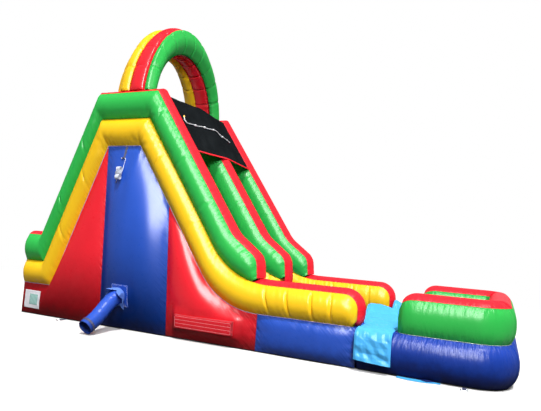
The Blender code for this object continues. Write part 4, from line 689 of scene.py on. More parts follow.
toe, head = BODY_RAIL[REAR_TOE], BODY_RAIL[DECK_REAR]
climb = unit(head - toe)
proud = np.array([-climb[1], climb[0]])
pitch = np.linalg.norm(head - toe) / RUNG_COUNT
half = INNER_Y - RUNG_SIDE_CLEARANCE
rings = []
for y in (-half, *np.linspace(-half + 0.01, half - 0.01, 45), half):
    full = math.sqrt(max(0.0, 1 - max(0.0, 1 - (half - abs(y)) / RUNG_END) ** 2))
    ring = [(toe + proud * CLEARANCE, 0.0)]
    for i in range(RUNG_COUNT):
        for k in range(RUNG_STEPS + 1):
            angle = math.pi * k / RUNG_STEPS
            at_share = (i + (1 - math.cos(angle)) / 2) * pitch
            roll = (RUNG_HEIGHT - RUNG_BASE) * math.sin(angle) ** 0.8 * (0.35 + 0.65 * full)
            roll += RUNG_WAVES * ripple(y + i, 0.12, 6) * math.sin(angle)
            run = at_share + RUNG_GROOVE * (k == 0) - RUNG_GROOVE * (k == RUNG_STEPS)
            away = min(at_share - i * pitch, (i + 1) * pitch - at_share)
            ring.append((toe + climb * run + proud * (RUNG_BASE * (0.4 + 0.6 * full) + roll), away))
    ring.append((head + proud * CLEARANCE, 0.0))
    rings.append([(x, y, z, y, away) for (x, z), away in ring])
skin("climbing_rungs", rings, yellow_vinyl, "climbing_rungs")

# Body panels. Each tower side is four sewn panels, rear, centre, front and the low one beside the runout. The
# air drives them out between their seams, and the seams hold them in a line.
CENTRE_SEAM_REAR_X, CENTRE_SEAM_FRONT_X = -0.17, 1.19
PANEL_ROWS = 44
# Where something is sewn on: x from and to, z from and to.
HELD_PLACES = {
    "right_centre": [(0.0, 0.2, 2.25, 3.06), (0.12, 0.56, 0.36, 0.76)],
    "left_centre": [(0.04, 0.14, 2.78, 3.06)],
    "right_front": [(1.4, 2.44, 0.17, 0.41)],
    "right_rear": [(-1.97, -1.53, 0.08, 0.44)],
}
HELD_FADE = 0.09
PANEL_GATHER = {"depth": 0.007, "reach": 0.07, "spacing": 0.13, "rest": 0.03}

SIDES = (("right", -1), ("left", 1))
base_top = np.vstack([BODY_RAIL[FOOT_END : NOSE_START + 1], [[SLIDE_END_X, BED_HEIGHT]]])
rear_top = BODY_RAIL[: DECK_REAR + 1]
centre_top = BODY_RAIL[DECK_REAR : CENTRE_SEAM + 1]
front_top = BODY_RAIL[CENTRE_SEAM : FOOT_END + 1]
# Name, top line, the bottom's two ends, how far it swells and how evenly, columns, finish.
PANELS = (
    ("rear", rear_top, REAR_X, CENTRE_SEAM_REAR_X, 0.13, 2.6, 46, red_rear_vinyl),
    ("centre", centre_top, CENTRE_SEAM_REAR_X, CENTRE_SEAM_FRONT_X, 0.25, 2.6, 44, blue_panel_vinyl),
    ("front", front_top, CENTRE_SEAM_FRONT_X, BASE_SEAM_X, 0.18, 2.3, 46, red_front_vinyl),
    ("base", base_top, BASE_SEAM_X, SLIDE_END_X, 0.07, 4.0, 40, blue_vinyl),
)


def face_tree(node):
    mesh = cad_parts[node].data
    return BVHTree.FromPolygons([v.co for v in mesh.vertices], [p.vertices for p in mesh.polygons])


def face_y(faces, side, x, z):
    """How far out a packed panel's face lies at x and z, or none off its edge."""
    hit = faces.ray_cast(Vector((x, side * 3, z)), Vector((0, -side, 0)))[0]
    return None if hit is None else side * hit.y


def held(places, x, z):
    """1 where something is sewn on, fading to 0 round it."""
    share = 0.0
    for x0, x1, z0, z1 in places:
        away = math.hypot(max(x0 - x, 0, x - x1), max(z0 - z, 0, z - z1))
        share = max(share, 1 - min(1.0, away / HELD_FADE))
    return share * share * (3 - 2 * share)


def body_panel(word, side, place_word, tops, rear_x, front_x, bulge, roundness, columns, finish):
    """One panel: rows up and columns along its face, and the same again for its back."""
    tops = resample(shifted(tops, -CLEARANCE), columns)
    lengths = lengths_along(tops)
    tallest = tops[:, 1].max()
    places = HELD_PLACES.get(f"{word}_{place_word}", [])
    faces = face_tree(f"{word}_{place_word}_panel") if places else None
    seed = name_number(word + place_word)
    face = []
    for share, top in zip(lengths / lengths[-1], tops):
        bottom = rear_x + CLEARANCE + (front_x - rear_x - 2 * CLEARANCE) * share
        swell = bulge * bow(share, roundness) * math.sqrt(top[1] / tallest)
        column = []
        for row in eased(PANEL_ROWS + 1):
            x = bottom + (top[0] - bottom) * row
            z = GROUND_CLEAR + (top[1] - GROUND_CLEAR) * row
            tall = top[1] * edge_share(row)
            wide = edge_share(share) * lengths[-1] * 0.8
            away = min(tall, wide)
            pull = gather(away, z if tall > wide else x, seed, **PANEL_GATHER)
            y = HALF_WIDTH + max(0.0, swell * bow(row, roundness) - pull)
            keep = held(places, x, z)
            cad_y = face_y(faces, side, x, z) if keep > 0 else None
            y = y if cad_y is None else y + (cad_y - y) * keep
            column.append((x, y, z, x + z, away))
        face.append(column)
    face = np.array(face)
    back = face[:, ::-1].copy()
    back[:, :, 1] -= PANEL_THICKNESS
    back[:, :, 4] = 0.3
    rings = np.concatenate([face, back], axis=1)
    rings[:, :, 1] *= side
    name = f"{word}_{place_word}_panel"
    skin(name, rings, finish, name)


for word, side in SIDES:
    for panel in PANELS:
        body_panel(word, side, *panel)

# Side walls. Each is a stack of air tubes on the body's edge: a yellow one, a green one down to the foot of the
# slope, and flat red caps along the top. Cross seams and the mitred corners draw small creases.
OUTER_BULGE_SHARE, INNER_BULGE_SHARE = 0.25, 0.17
WALL_CROWN, RUNOUT_CROWN = 0.062, 0.075
CAP_LIFT = 0.0006
ARC_POINTS = 15
SLOPE_SEAM_DEPTH = 0.14
TUBE_GATHER = {"depth": 0.006, "reach": 0.06, "spacing": 0.11, "rest": 0.02}
CAP_GATHER = {"depth": 0.005, "reach": 0.05, "spacing": 0.1, "rest": 0.02}


def air_tube(name, low, high, y_inner, y_outer, inner_share, outer_share, finish, dents=(), creases=()):
    """A tube between two seam lines, blown out at both sides.

    A dent is a cross seam: metres along, width, depth. A crease is a star of small folds: x, z, size, depth,
    count.
    """
    chords = np.linalg.norm(high - low, axis=1)
    y_middle = (y_inner + y_outer) / 2
    out = math.copysign(1.0, y_outer - y_inner)
    seed = name_number(name)
    shares = eased(ARC_POINTS + 2)[1:-1]
    arc = bow(shares, 2.25) ** 0.9
    rings = []
    for s, a, b, chord in zip(lengths_along((low + high) / 2), low, high, chords):
        slack = 1.0
        for place_along, width, depth in dents:
            slack -= depth * math.exp(-(((s - place_along) / width) ** 2))
        near_end = min(1.0, s / 0.1)
        slack *= 0.5 + 0.5 * math.sqrt(1 - (1 - near_end) ** 2)
        edges = ((y_inner, 0.0), (y_middle, 0.15), (y_outer, 0.0))
        ring = [(a[0], y, a[1], s, away) for y, away in edges]
        for wall_y, sign, bulge, order in ((y_outer, out, outer_share, 1), (y_inner, -out, inner_share, -1)):
            for share, full in zip(shares[::order], arc[::order]):
                x, z = a + (b - a) * share
                away = edge_share(share) * chord
                swell = full * bulge * chord * slack - gather(away, s, seed + (share > 0.5), **TUBE_GATHER)
                for crease_x, crease_z, size, depth, count in creases:
                    gap = math.hypot(x - crease_x, z - crease_z)
                    star = 0.5 + 0.5 * math.cos(count * math.atan2(z - crease_z, x - crease_x))
                    swell -= depth * math.exp(-((gap / size) ** 2)) * star * min(1.0, away / 0.05)
                ring.append((x, wall_y + sign * max(swell, 0.0), z, s, away))
            if order == 1:
                ring += [(b[0], y, b[1], s, away) for y, away in edges[::-1]]
        rings.append(ring)
    skin(name, rings, finish, name, swell_ends=(0.03, 0.0))


def cap(name, line, y_inner, y_outer, crowns, ends=(0.0, 0.0)):
    """A flat red cushion along a tube's top: sewn down at its edges, crowned between them."""
    width = abs(y_outer - y_inner)
    seed = name_number(name)
    rings = []
    along, lifted = lengths_along(line), shifted(line, CAP_LIFT)
    for s, point, normal, crown in zip(along, lifted, normals_of(line), crowns):
        ring = [(point[0], y, point[1], s, 0.2) for y in (y_outer, (y_inner + y_outer) / 2, y_inner)]
        for share in eased(17)[1:-1]:
            away = edge_share(share) * width
            height = crown * bow(share, 2.5) - gather(away, s, seed, **CAP_GATHER)
            x, z = point + normal * max(height, 0.0)
            ring.append((x, y_inner + (y_outer - y_inner) * share, z, s, away))
        rings.append(ring)
    skin(name, rings, red_vinyl, name, swell_ends=ends)


def creases_at(line, *stars):
    return [(*line[k], size, depth, count) for k, size, depth, count in stars]


middle_along = lengths_along((BODY_RAIL + MIDDLE_RAIL[: len(BODY_RAIL)]) / 2)
upper_along = lengths_along((MIDDLE_RAIL[: FOOT_END + 1] + TOP_RAIL) / 2)
runout = slice(FOOT_END, NOSE_START + 1)
yellow_seams = [
    (np.interp(x, MIDDLE_RAIL[runout, 0], middle_along[runout]), 0.017, depth)
    for x, depth in ((2.86, 0.2), (3.2, 0.3), (3.58, 0.34), (3.87, 0.3))
]
slope_places = (REAR_TOE + 22, REAR_TOE + 50, DECK_FRONT + 22, CENTRE_SEAM + 12)
yellow_seams += [(middle_along[k], 0.014, SLOPE_SEAM_DEPTH) for k in slope_places]
slope_places = (REAR_TOE + 26, REAR_TOE + 54, DECK_FRONT + 9, DECK_FRONT + 34, CENTRE_SEAM + 10)
green_seams = [(upper_along[k], 0.013, SLOPE_SEAM_DEPTH) for k in slope_places]
yellow_creases = creases_at(
    BODY_RAIL, (DECK_REAR, 0.17, 0.03, 7), (DECK_FRONT, 0.17, 0.03, 8), (REAR_TOE, 0.12, 0.02, 6)
)
green_creases = creases_at(
    MIDDLE_RAIL, (DECK_REAR, 0.13, 0.03, 6), (DECK_FRONT, 0.16, 0.03, 7), (REAR_TOE, 0.1, 0.02, 5)
)
runout_line = MIDDLE_RAIL[FOOT_END:].copy()
runout_line[0] += unit(runout_line[1] - runout_line[0]) * 0.004
run = lengths_along(runout_line)
start_share = np.clip((run - 0.01) / 0.09, 0, 1)
end_share = np.clip((run[-1] - run) / 0.16, 0, 1)
runout_crowns = RUNOUT_CROWN * (0.02 + 0.98 * start_share**0.6) * (0.3 + 0.7 * end_share**0.5)
yellow_lines = BODY_RAIL, shifted(MIDDLE_RAIL, -CLEARANCE)
green_lines = MIDDLE_RAIL[: FOOT_END + 1], TOP_RAIL
for word, side in SIDES:
    across = side * INNER_Y, side * HALF_WIDTH
    shape = *across, INNER_BULGE_SHARE, OUTER_BULGE_SHARE
    air_tube(f"{word}_lower_tube", *yellow_lines, *shape, yellow_vinyl, yellow_seams, yellow_creases)
    air_tube(f"{word}_upper_tube", *green_lines, *shape, green_vinyl, green_seams, green_creases)
    cap(f"{word}_wall_cap", TOP_RAIL, *across, [WALL_CROWN] * len(TOP_RAIL), (0.02, 0.0))
    cap(f"{word}_runout_cap", runout_line, *across, runout_crowns)

# Divider. The two lanes are parted by a thinner stack of the same tubes, which starts below the deck's edge and
# ends at the foot of the slope with its cap turned down.
DIVIDER_THICKNESS = 0.312
DIVIDER_START = 0.1
DIVIDER_NOSE_RISE = 0.06
DIVIDER_SEAM = (0.013, 0.08)

start = DIVIDER_START * math.cos(FRONT_SLOPE)
half = DIVIDER_THICKNESS / 2


def from_start(line, first_x):
    """A seam line's run down the slope, from just below the deck to the foot."""
    upper = portion(line, first_x, line[CENTRE_SEAM][0], RUN_STEPS[3])[:-1]
    return np.vstack([upper, line[CENTRE_SEAM : FOOT_END + 1]])


top_line = from_start(TOP_RAIL, DECK_FRONT_X + start)
middle_line = from_start(MIDDLE_RAIL[: FOOT_END + 1], MIDDLE_RAIL[DECK_FRONT][0] + start)
body_line = from_start(BODY_RAIL[: FOOT_END + 1], BODY_RAIL[DECK_FRONT][0] + start)
body_line[-1] = at_x(BODY_RAIL, FOOT_X)
shape = -half, half, INNER_BULGE_SHARE, INNER_BULGE_SHARE
seams = [(0.9, *DIVIDER_SEAM), (1.9, *DIVIDER_SEAM)]
air_tube("divider_upper_tube", middle_line, top_line, *shape, green_vinyl, seams)
low_lines = body_line, shifted(middle_line, -CLEARANCE)
air_tube("divider_lower_tube", *low_lines, *shape, yellow_vinyl, [(1.3, *DIVIDER_SEAM)])
tip = [(FOOT_X + CLEARANCE, z) for z in np.linspace(FOOT_TIP_Z, BED_HEIGHT + DIVIDER_NOSE_RISE, 14)[1:]]
cap_line = np.vstack([top_line, tip])
cap("divider_cap", cap_line, -half, half, [WALL_CROWN] * len(cap_line))

# Arch. Three air tubes side by side, green in front, red, and yellow behind, stand on the walls' tops over the
# deck. Each is sewn from short gores, so that fine creases cross it.
ARCH_CENTRE_Z, ARCH_FOOT_Z = 3.82, 4.0495
ARCH_HALF_WIDTH, ARCH_RISE = 1.2, 1.67
ARCH_INNER_HALF_WIDTH, ARCH_INNER_RISE = 1.0, 1.235
ARCH_SEAMS = (0.4, 0.294, -0.031, -0.26)
ARCH_FRONT_BULGE, ARCH_REAR_BULGE = 0.05, 0.1
ARCH_EDGE_SHARE = 0.13
ARCH_STEPS = 180
ARCH_GORES, ARCH_LENGTH = 10, 4.2
ARCH_GORE_DEPTH, ARCH_GORE_WIDTH = 0.014, 0.022
ARCH_INNER_SWELL, ARCH_OUTER_SWELL = 0.08, 0.13
ARCH_GATHER = {"depth": 0.004, "reach": 0.05, "spacing": 0.1}

deep = ARCH_HALF_WIDTH - ARCH_INNER_HALF_WIDTH
half_turn = np.linspace(0, 1, 13)[1:-1]
lobe = bow(half_turn, 2.2) ** 0.9
for name, seam_x, edge_x, end_bulge, finish in (
    ("arch_green_tube", ARCH_SEAMS[1] + CLEARANCE, ARCH_SEAMS[0], ARCH_FRONT_BULGE, green_vinyl),
    ("arch_red_tube", ARCH_SEAMS[2], ARCH_SEAMS[1], 0.0, red_vinyl),
    ("arch_yellow_tube", ARCH_SEAMS[2] - CLEARANCE, ARCH_SEAMS[3], -ARCH_REAR_BULGE, yellow_vinyl),
):
    width = abs(edge_x - seam_x) + abs(end_bulge)
    seed = name_number(name)
    reach_x = edge_x - seam_x
    turned_in = ARCH_EDGE_SHARE if end_bulge else 0.0
    sides = [(seam_x + reach_x * s, s, min(s, 1.0 if end_bulge else 1 - s) * width) for s in half_turn]
    swell = ARCH_INNER_SWELL * width / deep
    section = [(x, turned_in * s**2 - swell * arc, away) for (x, s, away), arc in zip(sides, lobe)]
    for s, arc in zip(half_turn, lobe) if end_bulge else ():
        section.append((edge_x + end_bulge * arc, turned_in + (1 - 2 * turned_in) * s, 0.14))
    swell = ARCH_OUTER_SWELL * width / deep
    section += [(x, 1 - turned_in * s**2 + swell * arc, away) for (x, s, away), arc in zip(sides[::-1], lobe)]
    section += [(seam_x, 1.0, 0.0), (seam_x, 0.5, 0.1), (seam_x, 0.0, 0.0)]
    rings = []
    for k in range(ARCH_STEPS + 1):
        ring = []
        gore = abs((k / ARCH_STEPS * ARCH_GORES + 0.5) % 1 - 0.5) / ARCH_GORES * ARCH_LENGTH
        draw = ARCH_GORE_DEPTH * math.exp(-((gore / ARCH_GORE_WIDTH) ** 2))
        for x, share, away in section:
            pull = draw + gather(away, k / ARCH_STEPS * ARCH_LENGTH, seed, **ARCH_GATHER)
            share = share - pull / deep if share > 1 else share + pull / deep if share < 0 else share
            if end_bulge and 0 < share < 1:
                x -= math.copysign(min(draw, abs(x - edge_x)), end_bulge)
            across = ARCH_INNER_HALF_WIDTH + deep * share
            rise = ARCH_INNER_RISE + (ARCH_RISE - ARCH_INNER_RISE) * share
            begin = math.asin((ARCH_FOOT_Z - ARCH_CENTRE_Z) / rise)
            angle = begin + (math.pi - 2 * begin) * k / ARCH_STEPS
            place = (x, -across * math.cos(angle), ARCH_CENTRE_Z + rise * math.sin(angle))
            ring.append((*place, angle * 1.4, min(away, gore + 0.004)))
        rings.append(ring)
    skin(name, rings, finish, name, sharp=70)

# Shade net. Black knitted shade cloth, hemmed with red vinyl at its lower edge, is laced between the walls over
# the head of both lanes. It rests on the divider and sags a little beside it.
NET_START = 0.03
NET_LENGTH = 1.15
NET_THICKNESS = 0.006
# How far the net lies over the walls' top seams: distances from the middle, and the rise at each.
NET_RISES = ((0.0, 0.053, 0.6, 0.9427), (0.0581, 0.0581, 0.02, 0.002))
NET_SAG = 0.016
NET_TIED_AT, NET_TIE_REACH = 0.57, 0.22
NET_WAVES = 0.004
NET_FOLD, NET_FOLD_WIDTH, NET_FOLD_SLANT, NET_FOLD_Y = 0.007, 0.012, 0.12, 0.5
HEM_WIDTH = 0.03
HEM_THICKNESS = 0.012


def woven(name, colours, ribs, distortion, patches, tones, relief, rough, specular=0.5, detail_scale=1.0):
    """Knitted or woven cloth: ribs across ribs, in patches of paler and darker tone."""
    made, tree = blank_material(name)
    at = tree.place()
    threads = tree.weave(at, ribs, distortion, detail_scale)
    tone = tree.spread(tree.noise(at, patches, 5.0), 0.3, 0.7, *tones)
    tree.surface(
        {
            "Base Color": tree.tinted(tree.mixed(threads, *map(hue, colours)), tone),
            "Roughness": rough,
            "Normal": tree.bump(threads, *relief),
            "Specular IOR Level": specular,
        }
    )
    return made


shade_cloth = woven(
    "shade_cloth",
    ("16191B", "2A2E31"),
    ribs={"Y": 60.0, "Z": 75.0},
    distortion=1.2,
    patches=3.0,
    tones=(0.8, 1.25),
    relief=(0.6, 0.002),
    rough=0.75,
    specular=0.0,
    detail_scale=2.0,
)


def on_net(down, y, height):
    """A point by its distance down the slope, its y, and its height over the walls' top seams."""
    x = DECK_FRONT_X + down * math.cos(FRONT_SLOPE) + height * math.sin(FRONT_SLOPE)
    return (x, y, WALL_TOP - down * math.sin(FRONT_SLOPE) + height * math.cos(FRONT_SLOPE))


def net_rise(y):
    return float(np.interp(abs(y), *NET_RISES))


def net_band(name, start, length, thickness, steps, finish, sag):
    half = INNER_Y - CLEARANCE
    rings = []
    for down in np.linspace(start, start + length, steps + 1):
        top, bottom = [], []
        held_share = min(1.0, abs(down - NET_TIED_AT) / NET_TIE_REACH)
        ends_share = math.sin(math.pi * min(1.0, max(0.0, (down - NET_START) / NET_LENGTH)))
        for y in np.linspace(-half, half, 121):
            between = math.sin(math.pi * min(1.0, max(0.0, (abs(y) - 0.06) / (half - 0.06))))
            dip = sag * between * (0.35 + 0.65 * held_share * ends_share)
            dip += NET_WAVES * sag / NET_SAG * between * held_share * ripple(y * 1.2 + down * 0.5, 0.33, 12)
            from_fold = (y - NET_FOLD_Y + down * NET_FOLD_SLANT) / NET_FOLD_WIDTH
            fold = NET_FOLD * math.exp(-(from_fold**2)) * held_share if sag else 0.0
            rise = net_rise(y) - dip + fold
            seam = (y, min(half - abs(y), 0.2))
            top.append((*on_net(down, y, rise + thickness), *seam))
            bottom.append((*on_net(down, y, rise), *seam))
        rings.append(top + bottom[::-1])
    return skin(name, rings, finish, name, sheet=True)


net = net_band("shade_net", NET_START, NET_LENGTH, NET_THICKNESS, 60, shade_cloth, NET_SAG)
hem = net_band("net_hem", NET_START + NET_LENGTH + 0.0003, HEM_WIDTH, HEM_THICKNESS, 3, red_vinyl, 0.0)

# Spray hose. A thin white hose wets both lanes: it is tied to the net, with a brass coupling at the near end,
# a plug at the far end and small spray fittings between.
HOSE_RADIUS = 0.008
HOSE_LIFT = 0.0008
# Metres down the net's slope, y, and how far it is held off the net.
HOSE_ROUTE = (
    (0.470, -0.845, 0.010), (0.520, -0.868, 0.008), (0.575, -0.850, 0.003), (0.588, -0.775, 0.0),
    (0.575, -0.690, 0.0), (0.572, -0.590, 0.0), (0.575, -0.500, 0.0), (0.555, -0.400, 0.0),
    (0.545, -0.310, 0.0), (0.550, -0.160, 0.0), (0.528, 0.010, 0.0), (0.510, 0.150, 0.0),
    (0.535, 0.220, 0.0), (0.580, 0.275, 0.0), (0.592, 0.350, 0.0), (0.592, 0.430, 0.0),
    (0.612, 0.520, 0.002), (0.640, 0.605, 0.005),
)
SPRAY_SHARES = (0.24, 0.43, 0.62, 0.83)
SPRAY_HALF_LENGTH = 0.026
FITTING_WALL, FITTING_RIM, FITTING_RIM_HALF = 0.005, 0.006, 0.011
PLUG_LENGTH, PLUG_WALL = 0.012, 0.002


def grained(name, colour, rough, metal=0.0, coat=0.0, grain=30.0, depth=0.0006, shift=0.12):
    """A plain hard or fibrous stuff: its tone wavers, its sheen is uneven, and its face has a fine grain."""
    made, tree = blank_material(name)
    at = tree.place()
    fine = tree.noise(at, grain * 10, 4.0, 0.6)
    tone = tree.spread(tree.noise(at, grain, 4.0), 0.3, 0.7, 1 - shift, 1 + shift)
    tree.surface(
        {
            "Base Color": tree.tinted(hue(colour), tone),
            "Roughness": tree.spread(fine, 0.3, 0.7, max(rough - 0.1, 0.03), rough + 0.1),
            "Metallic": metal,
            "Coat Weight": coat,
            "Normal": tree.bump(fine, 0.5, depth),
        }
    )
    return made


hose_plastic = grained("hose_plastic", "DCDEE2", 0.4, coat=0.15, shift=0.2)
dress(grained("brass", "C99B4A", 0.3, metal=1.0), "hose_coupling")


def smooth_route(points, spacing):
    """Evenly spaced points on a smooth curve through the route's own points."""
    points = np.array(points, float)
    padded = np.vstack([2 * points[0] - points[1], points, 2 * points[-1] - points[-2]])
    dense = []
    for p0, p1, p2, p3 in zip(padded, padded[1:], padded[2:], padded[3:]):
        for t in np.linspace(0, 1, 12, endpoint=False):
            straight = 2 * p1 + (p2 - p0) * t
            bend = (2 * p0 - 5 * p1 + 4 * p2 - p3) * t**2 + (3 * p1 - p0 - 3 * p2 + p3) * t**3
            dense.append((straight + bend) / 2)
    dense.append(points[-1])
    dense = np.array(dense)
    return resample(dense, max(2, round(lengths_along(dense)[-1] / spacing)))


def round_skin(name, path, radius_at, finish, *nodes, sides=14):
    """A round tube along a path. radius_at gives its radius for metres along and the angle round it."""
    path = np.array(path, float)
    tangents = np.gradient(path, axis=0)
    tangents /= np.linalg.norm(tangents, axis=1)[:, None]
    side = unit(np.cross(tangents[0], (0.0, 0.0, 1.0) if abs(tangents[0][2]) < 0.9 else (1.0, 0.0, 0.0)))
    rings = []
    angles = 2 * math.pi * np.arange(sides) / sides
    for point, tangent, s in zip(path, tangents, lengths_along(path)):
        side = unit(side - tangent * (side @ tangent))
        other = np.cross(tangent, side)
        radii = np.array([radius_at(s, angle) for angle in angles])
        spokes = np.cos(angles)[:, None] * side + np.sin(angles)[:, None] * other
        rings.append([(*place, s, 0.2) for place in point + radii[:, None] * spokes])
    return skin(name, rings, finish, *nodes, swell_ends=(0.001, 0.001))


def hose_radius(s, angle):
    return HOSE_RADIUS * (1 + 0.25 * abs(math.sin(s * 34)) ** 10 + 0.03 * math.sin(s * 420))


def fitting_radius(s, angle):
    rim = FITTING_RIM * (abs(s - SPRAY_HALF_LENGTH) < FITTING_RIM_HALF)
    return HOSE_RADIUS + FITTING_WALL + rim + 0.001 * math.cos(angle * 6)


def plug_radius(s, angle):
    return HOSE_RADIUS + PLUG_WALL


rest = NET_THICKNESS + HOSE_RADIUS + HOSE_LIFT
plan = smooth_route(HOSE_ROUTE, 0.036)
hose_path = smooth_route([on_net(down, y, net_rise(y) + rest + lift) for down, y, lift in plan], 0.008)
round_skin("spray_hose", hose_path, hose_radius, hose_plastic, "spray_hose")
hose_along = lengths_along(hose_path)
for k, share in enumerate(SPRAY_SHARES):
    steps = np.linspace(-SPRAY_HALF_LENGTH, SPRAY_HALF_LENGTH, 13)
    stretch = point_on(hose_path, hose_along, share * hose_along[-1] + steps).T
    round_skin(f"spray_fitting_{k + 1}", stretch, fitting_radius, hose_plastic, sides=18)
plug_end = hose_path[-1] + unit(hose_path[-1] - hose_path[-2]) * PLUG_LENGTH
round_skin("hose_end_plug", np.linspace(hose_path[-1], plug_end, 5), plug_radius, hose_plastic)

# Tethers. A navy webbing strap is sewn under the deck's seam of each centre panel and ends in an eye. On the
# near one hangs a white twisted rope, its spare length wound in a hank that a few turns of the rope's end hold.
ROPE_DIAMETER = 0.012
ROPE_STRAND_PITCH = 0.042
ROPE_DROP = (
    (0.050, -1.3089, 2.8341), (0.0756, -1.3089, 2.8341), (0.1011, -1.3088, 2.8342), (0.1139, -1.3088, 2.8342),
    (0.1263, -1.3103, 2.8320), (0.1361, -1.3134, 2.8245), (0.1411, -1.3186, 2.8142), (0.1423, -1.3232, 2.8023),
    (0.1420, -1.3297, 2.7776), (0.1420, -1.3364, 2.7530), (0.1420, -1.3431, 2.7283), (0.1420, -1.3498, 2.7036),
    (0.1421, -1.3553, 2.6787), (0.1422, -1.3594, 2.6534),
)
HANK_TOP, HANK_LOW = np.array([1.34645, 2.66410]), np.array([1.38096, 2.44910])
HANK_X = 0.142
HANK_TURNS, HANK_TURN_POINTS = 6, 24
HANK_LENGTH = 0.215
HANK_FOLD_RADIUS = 0.037
HANK_WAIST_SHARE, HANK_WAIST_LENGTH = 0.42, 0.05
HANK_PITCH = 0.0138
HANK_STANDOFF = 0.005
HANK_TAIL, HANK_TAIL_SPACING = 0.05, 0.022
TIE_TURNS, TIE_POINTS, TIE_PITCH = 4, 28, 0.0105
TIE_HALF_WIDTH, TIE_HALF_DEPTH = 0.0555, 0.0275
TIE_RADIUS, TIE_SHIFT = 0.0048, 0.003
KNOT_RADIUS, KNOT_LENGTH, KNOT_SWELL = 0.0062, 0.0216, 0.0042
STOPPER_RADIUS, STOPPER_LENGTH = 0.0072, 0.018


def webbing(name, colour):
    """Woven strap: fine ribs across it, a slight shine and frayed, faded spots."""
    ribs = {"Z": 130.0, "X": 130.0}
    return woven(name, (colour, colour), ribs, 0.8, 22.0, (0.75, 1.5), (0.7, 0.0008), 0.62)


navy_webbing = webbing("navy_webbing", "1C2450")
white_rope = grained("white_rope", "C4CADA", 0.75, grain=60.0, depth=0.0015, shift=0.25)
dress(navy_webbing, "right_tether_strap", "left_tether_strap")

hank_down = unit(HANK_LOW - HANK_TOP)
hank_out = np.array([-hank_down[1], hank_down[0]])
hank_straight = HANK_LENGTH - 2 * HANK_FOLD_RADIUS
hank_standoff = ROPE_DIAMETER / 2 + HANK_STANDOFF + HANK_FOLD_RADIUS
hank_axis = HANK_TOP + hank_out * hank_standoff + hank_down * HANK_FOLD_RADIUS


def hank_place(x, depth, drop):
    y, z = hank_axis + hank_out * depth + hank_down * drop
    return (x, -y, z)


def hank_points():
    """The hank's turns, each down the run beside the panel and up the outer one, and the hanging tail."""
    fold = HANK_FOLD_RADIUS
    bends = np.arange(60) * math.pi / 60
    turn_line = [(-fold, hank_straight * k / 60) for k in range(60)]
    turn_line += [(-fold * math.cos(a), hank_straight + fold * math.sin(a)) for a in bends]
    turn_line += [(fold, hank_straight * (1 - k / 60)) for k in range(60)]
    turn_line += [(fold * math.cos(a), -fold * math.sin(a)) for a in bends]
    turn_line = np.array([*turn_line, turn_line[0]])
    away = (turn_line[:, 1] - hank_straight / 2) / HANK_WAIST_LENGTH
    turn_line[:, 0] *= 1 - (1 - HANK_WAIST_SHARE) * np.exp(-(away**2))
    turn_line = resample(turn_line, HANK_TURN_POINTS)[:-1]
    last_run = int((turn_line[: HANK_TURN_POINTS // 2, 1] < hank_straight).sum())
    whole_turns = HANK_TURNS * HANK_TURN_POINTS + last_run
    tail = np.arange(hank_straight, HANK_LENGTH - fold + HANK_TAIL, HANK_TAIL_SPACING)
    run = [turn_line[i % HANK_TURN_POINTS] for i in range(whole_turns)] + [(-fold, drop) for drop in tail]
    return [hank_place(HANK_X - i * HANK_PITCH / HANK_TURN_POINTS, *place) for i, place in enumerate(run)]


def waist_point(angle, down_by):
    """A point on the tie that goes round the hank's waist."""
    across = math.copysign(abs(math.cos(angle)) ** 0.55, math.cos(angle)) * TIE_HALF_WIDTH
    depth = math.copysign(abs(math.sin(angle)) ** 0.75, math.sin(angle)) * TIE_HALF_DEPTH
    waist_x = HANK_X - HANK_TURNS * HANK_PITCH / 2 - TIE_SHIFT
    return hank_place(waist_x + across, depth, hank_straight / 2 + down_by)


def strands(s, angle):
    """Three strands laid round each other."""
    return ROPE_DIAMETER / 2 * (0.9 + 0.1 * math.cos(3 * angle - 2 * math.pi * s / ROPE_STRAND_PITCH))


def end_knot(s, angle):
    swell = KNOT_SWELL * math.sin(math.pi * min(1, s / KNOT_LENGTH)) ** 0.5
    return KNOT_RADIUS + swell + 0.0008 * math.cos(s * 2100 + angle)


def stopper_knot(s, angle):
    swell = KNOT_SWELL * math.sin(math.pi * min(1, s / STOPPER_LENGTH)) ** 0.6
    return STOPPER_RADIUS + swell + 0.0009 * math.cos(s * 900 + 2 * angle)


rope_path = smooth_route([*ROPE_DROP, *hank_points()], 0.0065)
rope = round_skin("tether_rope", rope_path, strands, white_rope, "tether_rope", "tether_hank", sides=12)
onward = unit(rope_path[-1] - rope_path[-2])
knot_line = [rope_path[-1] + onward * d for d in np.linspace(0.0004, 0.022, 23)]
knot = round_skin("rope_end_knot", knot_line, end_knot, navy_webbing, "rope_end_knot", sides=18)
backward = unit(rope_path[0] - rope_path[1])
stopper_line = [rope_path[0] + backward * d for d in np.linspace(-0.006, 0.012, 19)]
stopper = round_skin("rope_stopper_knot", stopper_line, stopper_knot, white_rope, sides=18)
tie_steps = [k / TIE_POINTS for k in range(TIE_TURNS * TIE_POINTS + 1)]
tie_line = [waist_point(2 * math.pi * turns, (turns - TIE_TURNS / 2) * TIE_PITCH) for turns in tie_steps]
tie = round_skin("hank_tie", tie_line, lambda s, angle: TIE_RADIUS, white_rope, sides=10)
float(lengths_along(rope_path)[-1])

# Ground anchors. At each corner of the slide and of the pool a webbing strap is sewn to the ground sheet and
# folded round a steel ring for a stake.
steel = grained("galvanised_steel", "B9BDC0", 0.38, metal=1.0, grain=45.0)
for corner in [f"{word}_{place_word}_anchor" for word, _ in SIDES for place_word in ("rear", "front")]:
    dress(navy_webbing, f"{corner}_strap")
    dress(steel, f"{corner}_ring")

